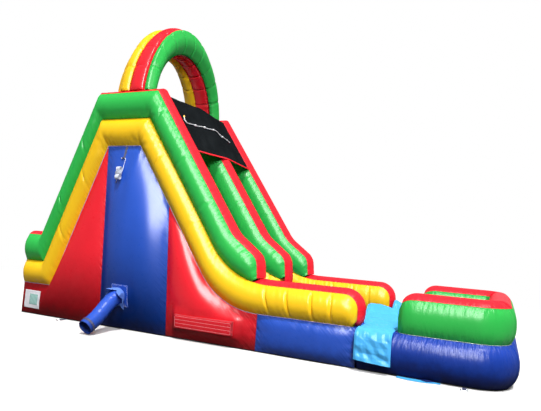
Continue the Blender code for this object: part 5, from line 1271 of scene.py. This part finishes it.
# Inflation sleeve. A soft tube of lighter blue cloth for the blower comes out of a square patch sewn to the
# near centre panel and lies on the ground. A pale torn-looking cuff of fabric flaps stands round its root.
SLEEVE_X = 0.34
SLEEVE_ROOT_Z = 0.56
SLEEVE_RADIUS, SLEEVE_WALL = 0.122, 0.006
SLEEVE_RUN_SHARES = (0.0, 0.10, 0.20, 0.31, 0.43, 0.56, 0.70, 0.85, 1.0)
SLEEVE_DROP_SHARES = (1.0, 0.99, 0.94, 0.83, 0.68, 0.49, 0.29, 0.14, 0.0)
SLEEVE_REACH = 0.7
SLEEVE_DRIFT = 0.05
SLEEVE_SINK = 0.06
SLEEVE_REST_Z = 0.1122
SLEEVE_SIDES = 40
SLEEVE_GIRTH = 0.767
SLEEVE_PATCH_SIDE = 0.36
PATCH_THICKNESS = 0.003
# Three places along a stitch, with its height and width there, and the four corners of its section.
STITCH_BAR = ((0.0, 0.35, 0.6), (0.5, 1.0, 1.0), (1.0, 0.35, 0.6))
STITCH_SECTION = ((-0.5, 0.0), (-0.32, 1.0), (0.32, 1.0), (0.5, 0.0))
COLLAR_START, COLLAR_LENGTH = 0.067, 0.222
COLLAR_THICKNESS = 0.0035
COLLAR_FLAPS = 5
COLLAR_FLARE = 0.078
COLLAR_FLARE_SHARES = ((0.0, 0.34, 0.66, 1.0), (0.0, 0.1, 0.45, 1.0))

sleeve_vinyl = vinyl(
    "sleeve_coated_fabric", "blue_vinyl", "2F58C6", gloss=0.36, soil_and_shade=0.5, painted_shade=0.35, pucker=0.004, sheen=0.15
)
flap_vinyl = vinyl(
    "flap_coated_fabric", "light_blue_vinyl", "6489DE", gloss=0.4, soil_and_shade=0.1, pucker=0.003, sheen=0.2
)
thread = grained("stitch_thread", "EE9AA4", 0.6, grain=90.0)
pale_thread = grained("pale_stitch_thread", "B9C8F4", 0.6, grain=90.0)
centre_faces = face_tree("right_centre_panel")


def sewn_on(name, corners, faces, thickness, finish, *nodes, steps=(30, 30), lift=0.0004, relief):
    """A flat-cut piece on a near panel: it takes the panel's curve. relief adds to its thickness by shares."""
    x0, z0, x1, z1 = corners
    rings = []
    for u in np.linspace(0, 1, steps[0] + 1):
        outer_line, inner_line = [], []
        for v in np.linspace(0, 1, steps[1] + 1):
            x, z = x0 + (x1 - x0) * u, z0 + (z1 - z0) * v
            y = face_y(faces, -1, x, z)
            across, up = edge_share(u), edge_share(v)
            thick = thickness * min(1.0, 0.35 + min(across, up) * 20) + relief(u, v)
            seam = (x + z, across * (x1 - x0) if across <= up else up * (z1 - z0))
            outer_line.append((x, -(y + lift + max(thick, 0.0006)), z, *seam))
            inner_line.append((x, -(y + lift), z, *seam))
        rings.append(outer_line + inner_line[::-1])
    skin(name, rings, finish, *nodes)


def rim_and_waves(rim, rim_u, rim_v, waves, along_u, along_v, spacing, seed):
    """A raised rim round a sewn-on piece, and soft waves over it, as a relief by shares."""

    def relief(u, v):
        on_rim = edge_share(u) < rim_u or edge_share(v) < rim_v
        return rim * on_rim + waves * ripple(u * along_u + v * along_v, spacing, seed)

    return relief


def stitches(name, lines, finish, body="slide", size=(0.016, 0.004, 0.0016), spacing=0.021):
    """Rows of thread, each stitch a small rounded bar. A line holds points and their outward ways."""
    points, faces = [], []
    length, wide, high = size
    for row in lines:
        places = np.array([p for p, _ in row])
        outs = np.array([o for _, o in row])
        along = lengths_along(places)
        for start in np.arange(spacing / 2, along[-1] - length, spacing):
            out = unit(point_on(outs, along, start))
            way = unit(point_on(places, along, start + length) - point_on(places, along, start))
            side_way = np.cross(way, out)
            first = len(points)
            for run, rise, narrow in STITCH_BAR:
                place_at = point_on(places, along, start + length * run)
                for across, up in STITCH_SECTION:
                    sideways = side_way * across * wide * narrow
                    points.append(tuple(place_at + sideways + out * up * high * rise))
            for a in (first, first + 4):
                faces += [(a + k, a + (k + 1) % 4, a + 4 + (k + 1) % 4, a + 4 + k) for k in range(4)]
            faces += [tuple(range(a, a + 4)) for a in (first, first + 8)]
    mesh_piece(name, points, faces, finish, (), body)


def face_row(faces, start, end, stand):
    """A stitch row over a panel's face, between two x, z places."""
    row = []
    for share in np.linspace(0, 1, 40):
        x, z = (a + (b - a) * share for a, b in zip(start, end))
        row.append(((x, -(face_y(faces, -1, x, z) + stand), z), (0.0, -1.0, 0.0)))
    return row


def square_round(x, z, half):
    return [(x - half, z - half), (x + half, z - half), (x + half, z + half), (x - half, z + half)]


half = SLEEVE_PATCH_SIDE / 2
patch = square_round(SLEEVE_X, SLEEVE_ROOT_Z, half)
sewn_on(
    "sleeve_patch",
    (*patch[0], *patch[2]),
    centre_faces,
    PATCH_THICKNESS,
    blue_vinyl,
    "sleeve_patch",
    relief=rim_and_waves(0.0, 0.0, 0.0, 0.0012, 0.7, 0.4, 0.16, 21),
)
frame_rows = []
for inset in (0.008, 0.02):
    corners = square_round(SLEEVE_X, SLEEVE_ROOT_Z, half - inset)
    sides = zip(corners, corners[1:] + corners[:1])
    frame_rows += [face_row(centre_faces, a, b, PATCH_THICKNESS) for a, b in sides]
stitches("sleeve_patch_stitches", frame_rows, pale_thread)

root_y = face_y(centre_faces, -1, SLEEVE_X, SLEEVE_ROOT_Z)
sleeve_path = []
for run, drop in zip(SLEEVE_RUN_SHARES, SLEEVE_DROP_SHARES):
    z = SLEEVE_REST_Z + (SLEEVE_ROOT_Z - SLEEVE_REST_Z) * drop
    sleeve_path.append((SLEEVE_X - SLEEVE_DRIFT * run, -root_y + SLEEVE_SINK - SLEEVE_REACH * run, z))
sleeve_path = smooth_route(sleeve_path, 0.014)
sleeve_along = lengths_along(sleeve_path)
sleeve_end = len(sleeve_path) - 1
sleeve_angles = 2 * math.pi * np.arange(SLEEVE_SIDES) / SLEEVE_SIDES


def sleeve_ways(k):
    """Sideways and upward, square to the sleeve's run at its point k."""
    ahead_way = unit(sleeve_path[min(k + 1, sleeve_end)] - sleeve_path[max(k - 1, 0)])
    across = unit(np.cross(ahead_way, (0, 0, 1)))
    return across, np.cross(across, ahead_way)


def sleeve_ring(k, radius, inside=False):
    across, up = sleeve_ways(k)
    s, a = sleeve_along[k], sleeve_angles
    folds = 0.0022 * ripple(a * 0.12 + s * 0.05, 0.16, 31) + 0.0018 * ripple(s + a * 0.01, 0.09, 32)
    bend = 0.005 * math.exp(-(((s - 0.2) / 0.06) ** 2)) * np.sin(s * 190 + 1.2 * np.cos(a))
    radii = (radius - 0.0045 + folds + bend)[:, None]
    places = sleeve_path[k] + radii * (np.cos(a)[:, None] * across + np.sin(a)[:, None] * up)
    away = 0.1 if inside else sleeve_along[-1] - s
    return [(*place, SLEEVE_GIRTH * angle, away) for place, angle in zip(places, a)]


first_out = next(k for k, p in enumerate(sleeve_path) if -p[1] > root_y - 0.012)
rings = [sleeve_ring(k, SLEEVE_RADIUS) for k in range(first_out, sleeve_end + 1)]
rings += [sleeve_ring(k, SLEEVE_RADIUS - SLEEVE_WALL, True) for k in range(sleeve_end, first_out + 12, -1)]
skin("inflation_sleeve", rings, sleeve_vinyl, "inflation_sleeve")
dress(navy_webbing, "sleeve_strap")

outer_part, inner_part = [], []
for share in np.linspace(0, 1, 17):
    outer_ring, inner_ring = [], []
    for a in np.linspace(0, 2 * math.pi, 120, endpoint=False):
        flap = abs((a - 0.1) * COLLAR_FLAPS / (2 * math.pi) % 1 * 2 - 1) * (0.85 + 0.3 * math.cos(a - 3.2))
        reached = COLLAR_START + (COLLAR_LENGTH - COLLAR_START) * share * (0.4 + 0.6 * flap)
        centre = point_on(sleeve_path, sleeve_along, reached)
        across, up = sleeve_ways(min(int(np.searchsorted(sleeve_along, reached)), sleeve_end - 1))
        flare = np.interp(reached / COLLAR_LENGTH, *COLLAR_FLARE_SHARES)
        crumpled = 0.008 * share * ripple(a * 0.14 + share * 0.05, 0.09, 41)
        r = SLEEVE_RADIUS + 0.002 + COLLAR_FLARE * flare * (0.5 + 0.95 * flap) + max(crumpled, -0.001)
        spoke = across * math.cos(a) + up * math.sin(a)
        seam = (a * 0.13, 0.02 + 0.1 * (1 - share))
        outer_ring.append((*(centre + spoke * (r + COLLAR_THICKNESS)), *seam))
        inner_ring.append((*(centre + spoke * r), *seam))
    outer_part.append(outer_ring)
    inner_part.append(inner_ring)
skin("sleeve_collar", outer_part + inner_part[::-1], flap_vinyl, "sleeve_collar", joined=True, sharp=28)

# Deflation zip. A stout zip is sewn low in the near front panel and hidden under a red flap, whose edges and
# rows of thread show as a pale rectangle. The slider runs the length of the teeth.
FLAP_ROWS = (0.1, 0.37, 0.64, 0.9)
FLAP_ENDS = (0.012, 0.988)

dress(webbing("red_webbing", "B01E2C"), "zip_tape")
dress(steel, "zip_slider")
packed_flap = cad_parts["zip_flap"]
flap_points = np.array([packed_flap.matrix_world @ v.co for v in packed_flap.data.vertices])
flap_x0, flap_x1 = flap_points[:, 0].min(), flap_points[:, 0].max()
flap_section = np.unique(np.round(flap_points[:, 1:], 5), axis=0)
by_height = flap_section[np.argsort(flap_section[:, 1])]
flap_near = [pair[np.argmax(pair[:, 0])] for pair in (by_height[:2], by_height[-2:])]
flap_far = [pair[np.argmin(pair[:, 0])] for pair in (by_height[:2], by_height[-2:])]
flap_out = unit(flap_far[0] - flap_near[0])
rings = []
for u in np.linspace(0, 1, 81):
    x = flap_x0 + (flap_x1 - flap_x0) * u
    front, back = [], []
    for v in np.linspace(0, 1, 21):
        near_point = flap_near[0] + (flap_near[1] - flap_near[0]) * v
        far_point = flap_far[0] + (flap_far[1] - flap_far[0]) * v
        rise = 0.0012 * ripple(x + v * 0.1, 0.22, 51) * min(1.0, (1 - v) * 3) + 0.0006
        row_dip = 0.0012 * max(math.exp(-(((v - row) / 0.03) ** 2)) for row in FLAP_ROWS)
        seam = (x, min(edge_share(u), edge_share(v)) * 0.5)
        front.append((x, *(far_point + flap_out * (rise - row_dip)), *seam))
        back.append((x, *near_point, *seam))
    rings.append(front + back[::-1])
skin("zip_flap", rings, red_vinyl, "zip_flap", body="zip_flap")


def flap_row(start, end):
    row = []
    for share in np.linspace(0, 1, 30):
        u, v = (a + (b - a) * share for a, b in zip(start, end))
        y, z = flap_far[0] + (flap_far[1] - flap_far[0]) * v + flap_out * 0.0004
        row.append(((flap_x0 + (flap_x1 - flap_x0) * u, y, z), (0.0, *flap_out)))
    return row


rows = [flap_row((FLAP_ENDS[0], v), (FLAP_ENDS[1], v)) for v in FLAP_ROWS]
rows += [flap_row((u, 0.08), (u, 0.92)) for u in FLAP_ENDS]
stitches("zip_flap_stitches", rows, thread, body="zip_flap", size=(0.018, 0.0055, 0.0018))

# Document pocket. A pale vinyl sleeve for papers is sewn to the near rear panel, with a bound edge and a clear
# window on it.
POCKET = (-1.95, 0.10, -1.55, 0.42)
POCKET_THICKNESS = 0.004
POCKET_WINDOW = (-1.81, 0.17, -1.60, 0.355)
WINDOW_THICKNESS, WINDOW_LIFT = 0.0016, 0.0052

pocket_vinyl = vinyl(
    "pocket_vinyl", "pocket_vinyl", "ECECF4", gloss=0.3, soil_and_shade=0.2, painted_shade=0.1, pucker=0.002, sheen=0.4
)
window_film = vinyl("window_film", "pocket_vinyl", "9FCFC9", gloss=0.12, soil_and_shade=0.2, pucker=0.002, sheen=1.0)
rear_faces = face_tree("right_rear_panel")
sewn_on(
    "document_pocket",
    POCKET,
    rear_faces,
    POCKET_THICKNESS,
    pocket_vinyl,
    "document_pocket",
    steps=(60, 50),
    relief=rim_and_waves(0.0022, 0.045, 0.055, 0.001, 0.4, 0.2, 0.11, 61),
)
sewn_on(
    "pocket_window",
    POCKET_WINDOW,
    rear_faces,
    WINDOW_THICKNESS,
    window_film,
    steps=(30, 26),
    lift=WINDOW_LIFT,
    relief=rim_and_waves(0.0012, 0.06, 0.07, 0.0006, 0.3, 0.3, 0.1, 62),
)

# Splash pool. A fat blue base tube runs all the way round, a green wall tube stands on it on three sides, and a
# red cap lies on the wall. The base is pulled into sharp little folds under the wall's seam.
POOL_REAR_X, POOL_FRONT_X = 4.2383, 6.12
POOL_BASE_HEIGHT, POOL_BASE_WIDTH = 0.54, 0.42
POOL_WALL_TOP = 0.985
POOL_WALL_REAR_X = 4.79
POOL_FRONT_RADIUS, POOL_REAR_RADIUS, POOL_INNER_RADIUS = 0.42, 0.08, 0.06
POOL_BASE_BULGE, POOL_BASIN_BULGE, POOL_WALL_BULGE = 0.11, 0.055, 0.06
POOL_BASE_PULL, POOL_BASE_SEAM_REST, POOL_WALL_PULL = 0.011, 0.35, 0.006
POOL_CAP_GATHER = {"depth": 0.006, "reach": 0.04, "spacing": 0.09, "rest": 0.02}
POOL_CROWN = 0.085
POOL_END_LENGTH = 0.2
POOL_END_WIDTH_SHARE = 0.55
POOL_END_DROP = 0.1
POOL_END_CROWN_SHARE = 0.55
ARC_STEPS = 22
OPEN_PIECES, CLOSED_PIECES = (44, 40, 44), (24, 56, 40, 56, 24)

pool_blue = vinyl(
    "pool_blue_coated_fabric",
    "blue_vinyl",
    "1F45B2",
    soil_and_shade=0.9,
    painted_shade=0.6,
    pucker=0.013,
    sheen=0.15,
    spacing=0.04,
    reach=0.09,
)
pool_green = vinyl(
    "pool_green_coated_fabric", "green_vinyl", "30B24C", pucker=0.009, sheen=0.08, spacing=0.05, reach=0.06
)


def plan_line(rear_x, front_x, half_width, radius, rear_radius=None):
    """A line round the pool: open at the slide, or closed there when a rear radius is given."""
    line = [(rear_x, -half_width), (front_x, -half_width), (front_x, half_width), (rear_x, half_width)]
    radii, pieces = (radius, radius), OPEN_PIECES
    if rear_radius is not None:
        line = [(rear_x, 0.0), *line, (rear_x, 0.0)]
        radii, pieces = (rear_radius, radius, radius, rear_radius), CLOSED_PIECES
    traced = trace(line, radii, math.pi / 2 / ARC_STEPS * 1.0001)
    points = []
    for k, (a, b) in enumerate(zip(traced, traced[1:])):
        count = pieces[k // (ARC_STEPS + 1)] if k % (ARC_STEPS + 1) == 0 else 1
        points += [a + (b - a) * i / count for i in range(count)]
    return np.array(points if rear_radius is not None else [*points, traced[-1]])


def pool_ring(outer_at, inner_at, low_z, high_z, s, outer_bulge, inner_bulge, pull, seam_rest=0.0):
    """A tube's section between its outer and inner plan points, blown out at both sides."""
    outward = unit(outer_at - inner_at)
    shares = eased(19)[1:-1]
    arc = bow(shares, 2.3) ** 0.85
    height = high_z - low_z
    edges = ((inner_at, 0.0), ((outer_at + inner_at) / 2, 0.2), (outer_at, 0.0))
    ring = [(*place, low_z, s, away) for place, away in edges]
    for share, full in zip(shares, arc):
        away = min(share + seam_rest, 1 - share) * height
        drawn = pull * math.exp(-away / 0.05) * min(1.0, away / 0.02)
        place = outer_at + outward * max(outer_bulge * full - drawn, 0.0)
        ring.append((*place, low_z + height * share, s, away))
    ring += [(*place, high_z, s, away) for place, away in edges[::-1]]
    for share, full in zip(shares[::-1], arc):
        place = inner_at - outward * inner_bulge * full
        ring.append((*place, low_z + height * share, s, edge_share(share) * height))
    return ring


rim = plan_line(POOL_REAR_X, POOL_FRONT_X, HALF_WIDTH, POOL_FRONT_RADIUS, POOL_REAR_RADIUS)
width, inner = POOL_BASE_WIDTH, POOL_INNER_RADIUS
basin = plan_line(POOL_REAR_X + width, POOL_FRONT_X - width, HALF_WIDTH - width, inner, inner)
rings = []
for a, b, s in zip(rim, basin, lengths_along(rim)):
    bulge = 0.0 if a[0] < POOL_REAR_X + POOL_REAR_RADIUS * 0.98 else POOL_BASE_BULGE
    ease = min(1.0, max(0.0, (a[0] - POOL_REAR_X) / 0.3))
    pull = POOL_BASE_PULL * ease * (1 + ripple(s, 0.075, 71))
    heights = GROUND_CLEAR, POOL_BASE_HEIGHT
    rings.append(pool_ring(a, b, *heights, s, bulge, POOL_BASIN_BULGE, pull, POOL_BASE_SEAM_REST))
skin("pool_base_tube", rings, pool_blue, "pool_base_tube", joined=True)

wall_outer = plan_line(POOL_WALL_REAR_X, POOL_FRONT_X, HALF_WIDTH, POOL_FRONT_RADIUS)
wall_inner = plan_line(POOL_WALL_REAR_X, POOL_FRONT_X - WALL_THICKNESS, HALF_WIDTH - WALL_THICKNESS, inner)
wall_along = lengths_along(wall_outer)
base_z = POOL_BASE_HEIGHT + CLEARANCE
wall_rings, cap_rings = [], []
for k, s in enumerate(wall_along):
    from_end = min(s, wall_along[-1] - s)
    full_share = math.sqrt(1 - (1 - min(1.0, from_end / POOL_END_LENGTH)) ** 2)
    narrow = POOL_END_WIDTH_SHARE + (1 - POOL_END_WIDTH_SHARE) * full_share
    top = POOL_WALL_TOP - POOL_END_DROP * (1 - full_share)
    centre = (wall_outer[k] + wall_inner[k]) / 2
    wall_outer[k] = centre + (wall_outer[k] - centre) * narrow
    wall_inner[k] = centre + (wall_inner[k] - centre) * narrow
    a, b = wall_outer[k], wall_inner[k]
    bulge = POOL_WALL_BULGE * narrow
    pull = POOL_WALL_PULL * (1 + ripple(s, 0.07, 72))
    wall_rings.append(pool_ring(a, b, base_z, top, s, bulge, bulge, pull))
    top_z = top + CLEARANCE
    low_end = (POOL_WALL_TOP - top) / POOL_END_DROP
    ring = [(*place, top_z, s, 0.2) for place in (a, (a + b) / 2, b)]
    for share in eased(19)[1:-1]:
        away = edge_share(share) * WALL_THICKNESS
        crown = POOL_CROWN * narrow * (1 - POOL_END_CROWN_SHARE * low_end) * bow(share, 2.5)
        crown -= gather(away, s, 73, **POOL_CAP_GATHER)
        ring.append((*(b + (a - b) * share), top_z + max(crown, 0.0), s, away))
    cap_rings.append(ring)
skin("pool_wall_tube", wall_rings, pool_green, "pool_wall_tube", swell_ends=(0.05, 0.05))
skin("pool_wall_cap", cap_rings, red_vinyl, "pool_wall_cap", swell_ends=(0.03, 0.03))

# Welts. A pale lilac piping is caught in the seam between the yellow tubes and the body panels, and a thin pale
# one between the pool's wall and its base.
WELT_RADIUS = 0.0055
POOL_WELT_RADIUS = WELT_RADIUS * 0.8

lilac_welt = grained("lilac_welt", "B7A4C9", 0.45, coat=0.2, grain=40.0)
pale_welt = grained("pale_green_welt", "A9C7B5", 0.45, coat=0.2, grain=40.0)
for word, side in SIDES:
    path = [(x, side * (HALF_WIDTH + 0.001), z) for x, z in shifted(BODY_RAIL[: RAIL_END - 2], -0.0004)]
    round_skin(f"{word}_body_welt", path, lambda s, angle: WELT_RADIUS, lilac_welt, sides=8)
welt_line = [(x, y, POOL_BASE_HEIGHT) for x, y in wall_outer]
round_skin("pool_welt", welt_line, lambda s, angle: POOL_WELT_RADIUS, pale_welt, sides=8)

# Splash sheet. A loose sky-blue sheet covers the joint of runout and pool: it hangs flat down the near side, is
# crumpled across the top, and is bunched up against the far wall's end. An apron of it lies on the ground.
SPLASH_REAR_X, SPLASH_FRONT_X = 4.245, 4.73
SPLASH_THICKNESS = 0.0016
SPLASH_HANG_LOW_Z = 0.15
SPLASH_HANG_SLANT = -0.03
SPLASH_HANG_ROWS = 42
SPLASH_HANG_Y = -1.351
SPLASH_EDGE = ((-1.343, 0.478), (-1.325, 0.502), (-1.3, 0.522), (-1.27, 0.536), (-1.235, 0.542))
SPLASH_BUNCH_Y, SPLASH_END_Y = 0.76, 1.205
SPLASH_FAR_TOP_Z = 0.75
SPLASH_FAR_INSET = 0.082
SPLASH_FOLD, SPLASH_HANG_FOLD = 0.062, 0.042
SPLASH_RIDGE, SPLASH_RIDGE_Y = 0.16, 0.62
SPLASH_TUCK = 0.3
SPLASH_COLUMNS = 61

sheet_look = {"gloss": 0.26, "soil_and_shade": 0.0, "pucker": 0.001, "sheen": 0.16, "shine": 0.04}
sheet_vinyl = vinyl("splash_sheet_vinyl", "light_blue_vinyl", "50B4F4", **sheet_look)


def crumple(u, v, size, seed, count=9):
    """Sharp folds from 0 to 1, in many directions, about this far apart in metres."""
    rng = np.random.default_rng(seed)
    total = np.zeros(np.broadcast(u, v).shape)
    weight = 0.0
    for _ in range(count):
        angle = rng.uniform(0, math.pi)
        wave = size * rng.uniform(0.6, 2.2)
        bent = 0.25 * np.sin((u * math.sin(angle) - v * math.cos(angle)) / wave * 1.7 + rng.uniform(0, 6))
        line = (u * math.cos(angle) + v * math.sin(angle)) / wave + rng.uniform() + bent
        total = total + np.abs((line % 1.0) * 2 - 1) * wave
        weight += wave
    return total / weight


def sheet_ring(xs, upper, lower, along):
    """A sheet's upper face and then its lower face backwards, for one row across it."""
    faces = [[(x, y, z, s, 0.2) for x, (y, z), s in zip(xs, side, along)] for side in (upper, lower)]
    return faces[0] + faces[1][::-1]


rest_z = POOL_BASE_HEIGHT + CLEARANCE
rings = []
for along_share in (k / (SPLASH_COLUMNS - 1) for k in range(SPLASH_COLUMNS)):
    path = []
    for i, z in enumerate(np.linspace(SPLASH_HANG_LOW_Z, rest_z * 0.84, SPLASH_HANG_ROWS)):
        path.append((SPLASH_HANG_Y, z + SPLASH_HANG_SLANT * along_share * (1 - i / SPLASH_HANG_ROWS)))
    path += [*SPLASH_EDGE, *[(y, rest_z) for y in np.linspace(-1.205, 0.74, 116)]]
    lean_all = (1 - along_share) ** 1.5
    for y in np.linspace(SPLASH_BUNCH_Y, SPLASH_END_Y, 26):
        bunch = math.sin(math.pi * min(0.88, 0.1 + (y - SPLASH_BUNCH_Y) / 0.52)) ** 0.8
        path.append((y, rest_z + lean_all * bunch * (SPLASH_FAR_TOP_Z - rest_z)))
    path = np.array(path)
    y = path[:, 0]
    along = lengths_along(path)
    normals = -normals_of(path) if normals_of(path)[80][1] < 0 else normals_of(path)
    u = np.full(len(path), along_share * (SPLASH_FRONT_X - SPLASH_REAR_X))
    edge_ease = np.clip(edge_share(along_share) / 0.06, 0.15, 1)
    folds, small = crumple(u, along, 0.17, 81, 3), crumple(u, along, 0.06, 82, 3)
    amount = SPLASH_FOLD * (0.55 + 0.45 * np.clip((y - 0.3) / 0.4, 0, 1.3))
    amount = np.where(y < -1.24, SPLASH_HANG_FOLD, amount)
    ridge = SPLASH_RIDGE * np.exp(-(((y - SPLASH_RIDGE_Y) / 0.09) ** 2)) * (1 - 0.7 * along_share)
    rise = 0.001 + amount * (0.72 * folds + 0.28 * small) * edge_ease + ridge * (0.55 + 0.45 * folds)
    inset = SPLASH_FAR_INSET * np.clip((y - 0.66) / 0.08, 0, 1)
    inset -= SPLASH_TUCK * np.clip((y + 0.75) / 0.5, 0, 1) * np.clip((0.72 - y) / 0.05, 0, 1)
    xs = SPLASH_REAR_X + inset + (SPLASH_FRONT_X - SPLASH_REAR_X - inset) * along_share
    upper = path + normals * (rise + SPLASH_THICKNESS)[:, None]
    rings.append(sheet_ring(xs, upper, path + normals * rise[:, None], along))
splash = skin("splash_sheet", rings, sheet_vinyl, "splash_sheet", sharp=60, sheet=True)

# Ground apron. A strip of the splash sheet's stuff lies on the ground beside the pool, and a dark navy strip at
# its edge is painted shadow under its lifted lip.
APRON_REAR_X, APRON_FRONT_X = 4.80, 5.34
APRON_REACH = 0.12
APRON_THICKNESS = 0.0014
APRON_SHADOW_X, APRON_SHADOW_LENGTH, APRON_SHADOW_REACH = 5.08, 0.2, 0.07


def ground_ring(x, ys, z):
    """One row of a thin sheet at x, over heights z."""
    upper, lower = zip(ys, z + APRON_THICKNESS), zip(ys, z)
    return sheet_ring([x] * len(ys), upper, lower, [x] * len(ys))


rings = []
for u in np.linspace(0, 1, 61):
    x = APRON_REAR_X + (APRON_FRONT_X - APRON_REAR_X) * u
    reach = APRON_REACH * (0.55 + 0.45 * math.sin(math.pi * min(1.0, u * 1.15)) ** 0.7)
    shares = np.linspace(0, 1, 25)
    ys = -(HALF_WIDTH + 0.004) - reach * shares
    lift = np.sin(math.pi * np.clip(shares * 0.9 + 0.1, 0, 1)) ** 0.5
    rings.append(ground_ring(x, ys, 0.0016 + 0.0065 * crumple(np.full(25, x), ys, 0.07, 91) * lift))
apron = skin("ground_apron", rings, sheet_vinyl, "ground_apron", sharp=60, sheet=True)
# A dark navy strip, raised a little at the apron's edge: painted shadow under the apron's lifted lip.
apron_shadow_finish = vinyl("apron_painted_shadow", "navy_webbing", "1C2C66", gloss=0.4, soil_and_shade=0.0, sheen=0.1)
rings = []
for u in np.linspace(0, 1, 21):
    wide = bow(u, 1)
    shares = np.linspace(0, 1, 13)
    ys = -(HALF_WIDTH + 0.02) - (0.004 + APRON_SHADOW_REACH * wide) * shares
    z = 0.0125 + 0.014 * wide * np.sin(math.pi * shares)
    rings.append(ground_ring(APRON_SHADOW_X + APRON_SHADOW_LENGTH * u, ys, z))
apron_shadow_piece = skin("apron_lining", rings, apron_shadow_finish, sheet=True)
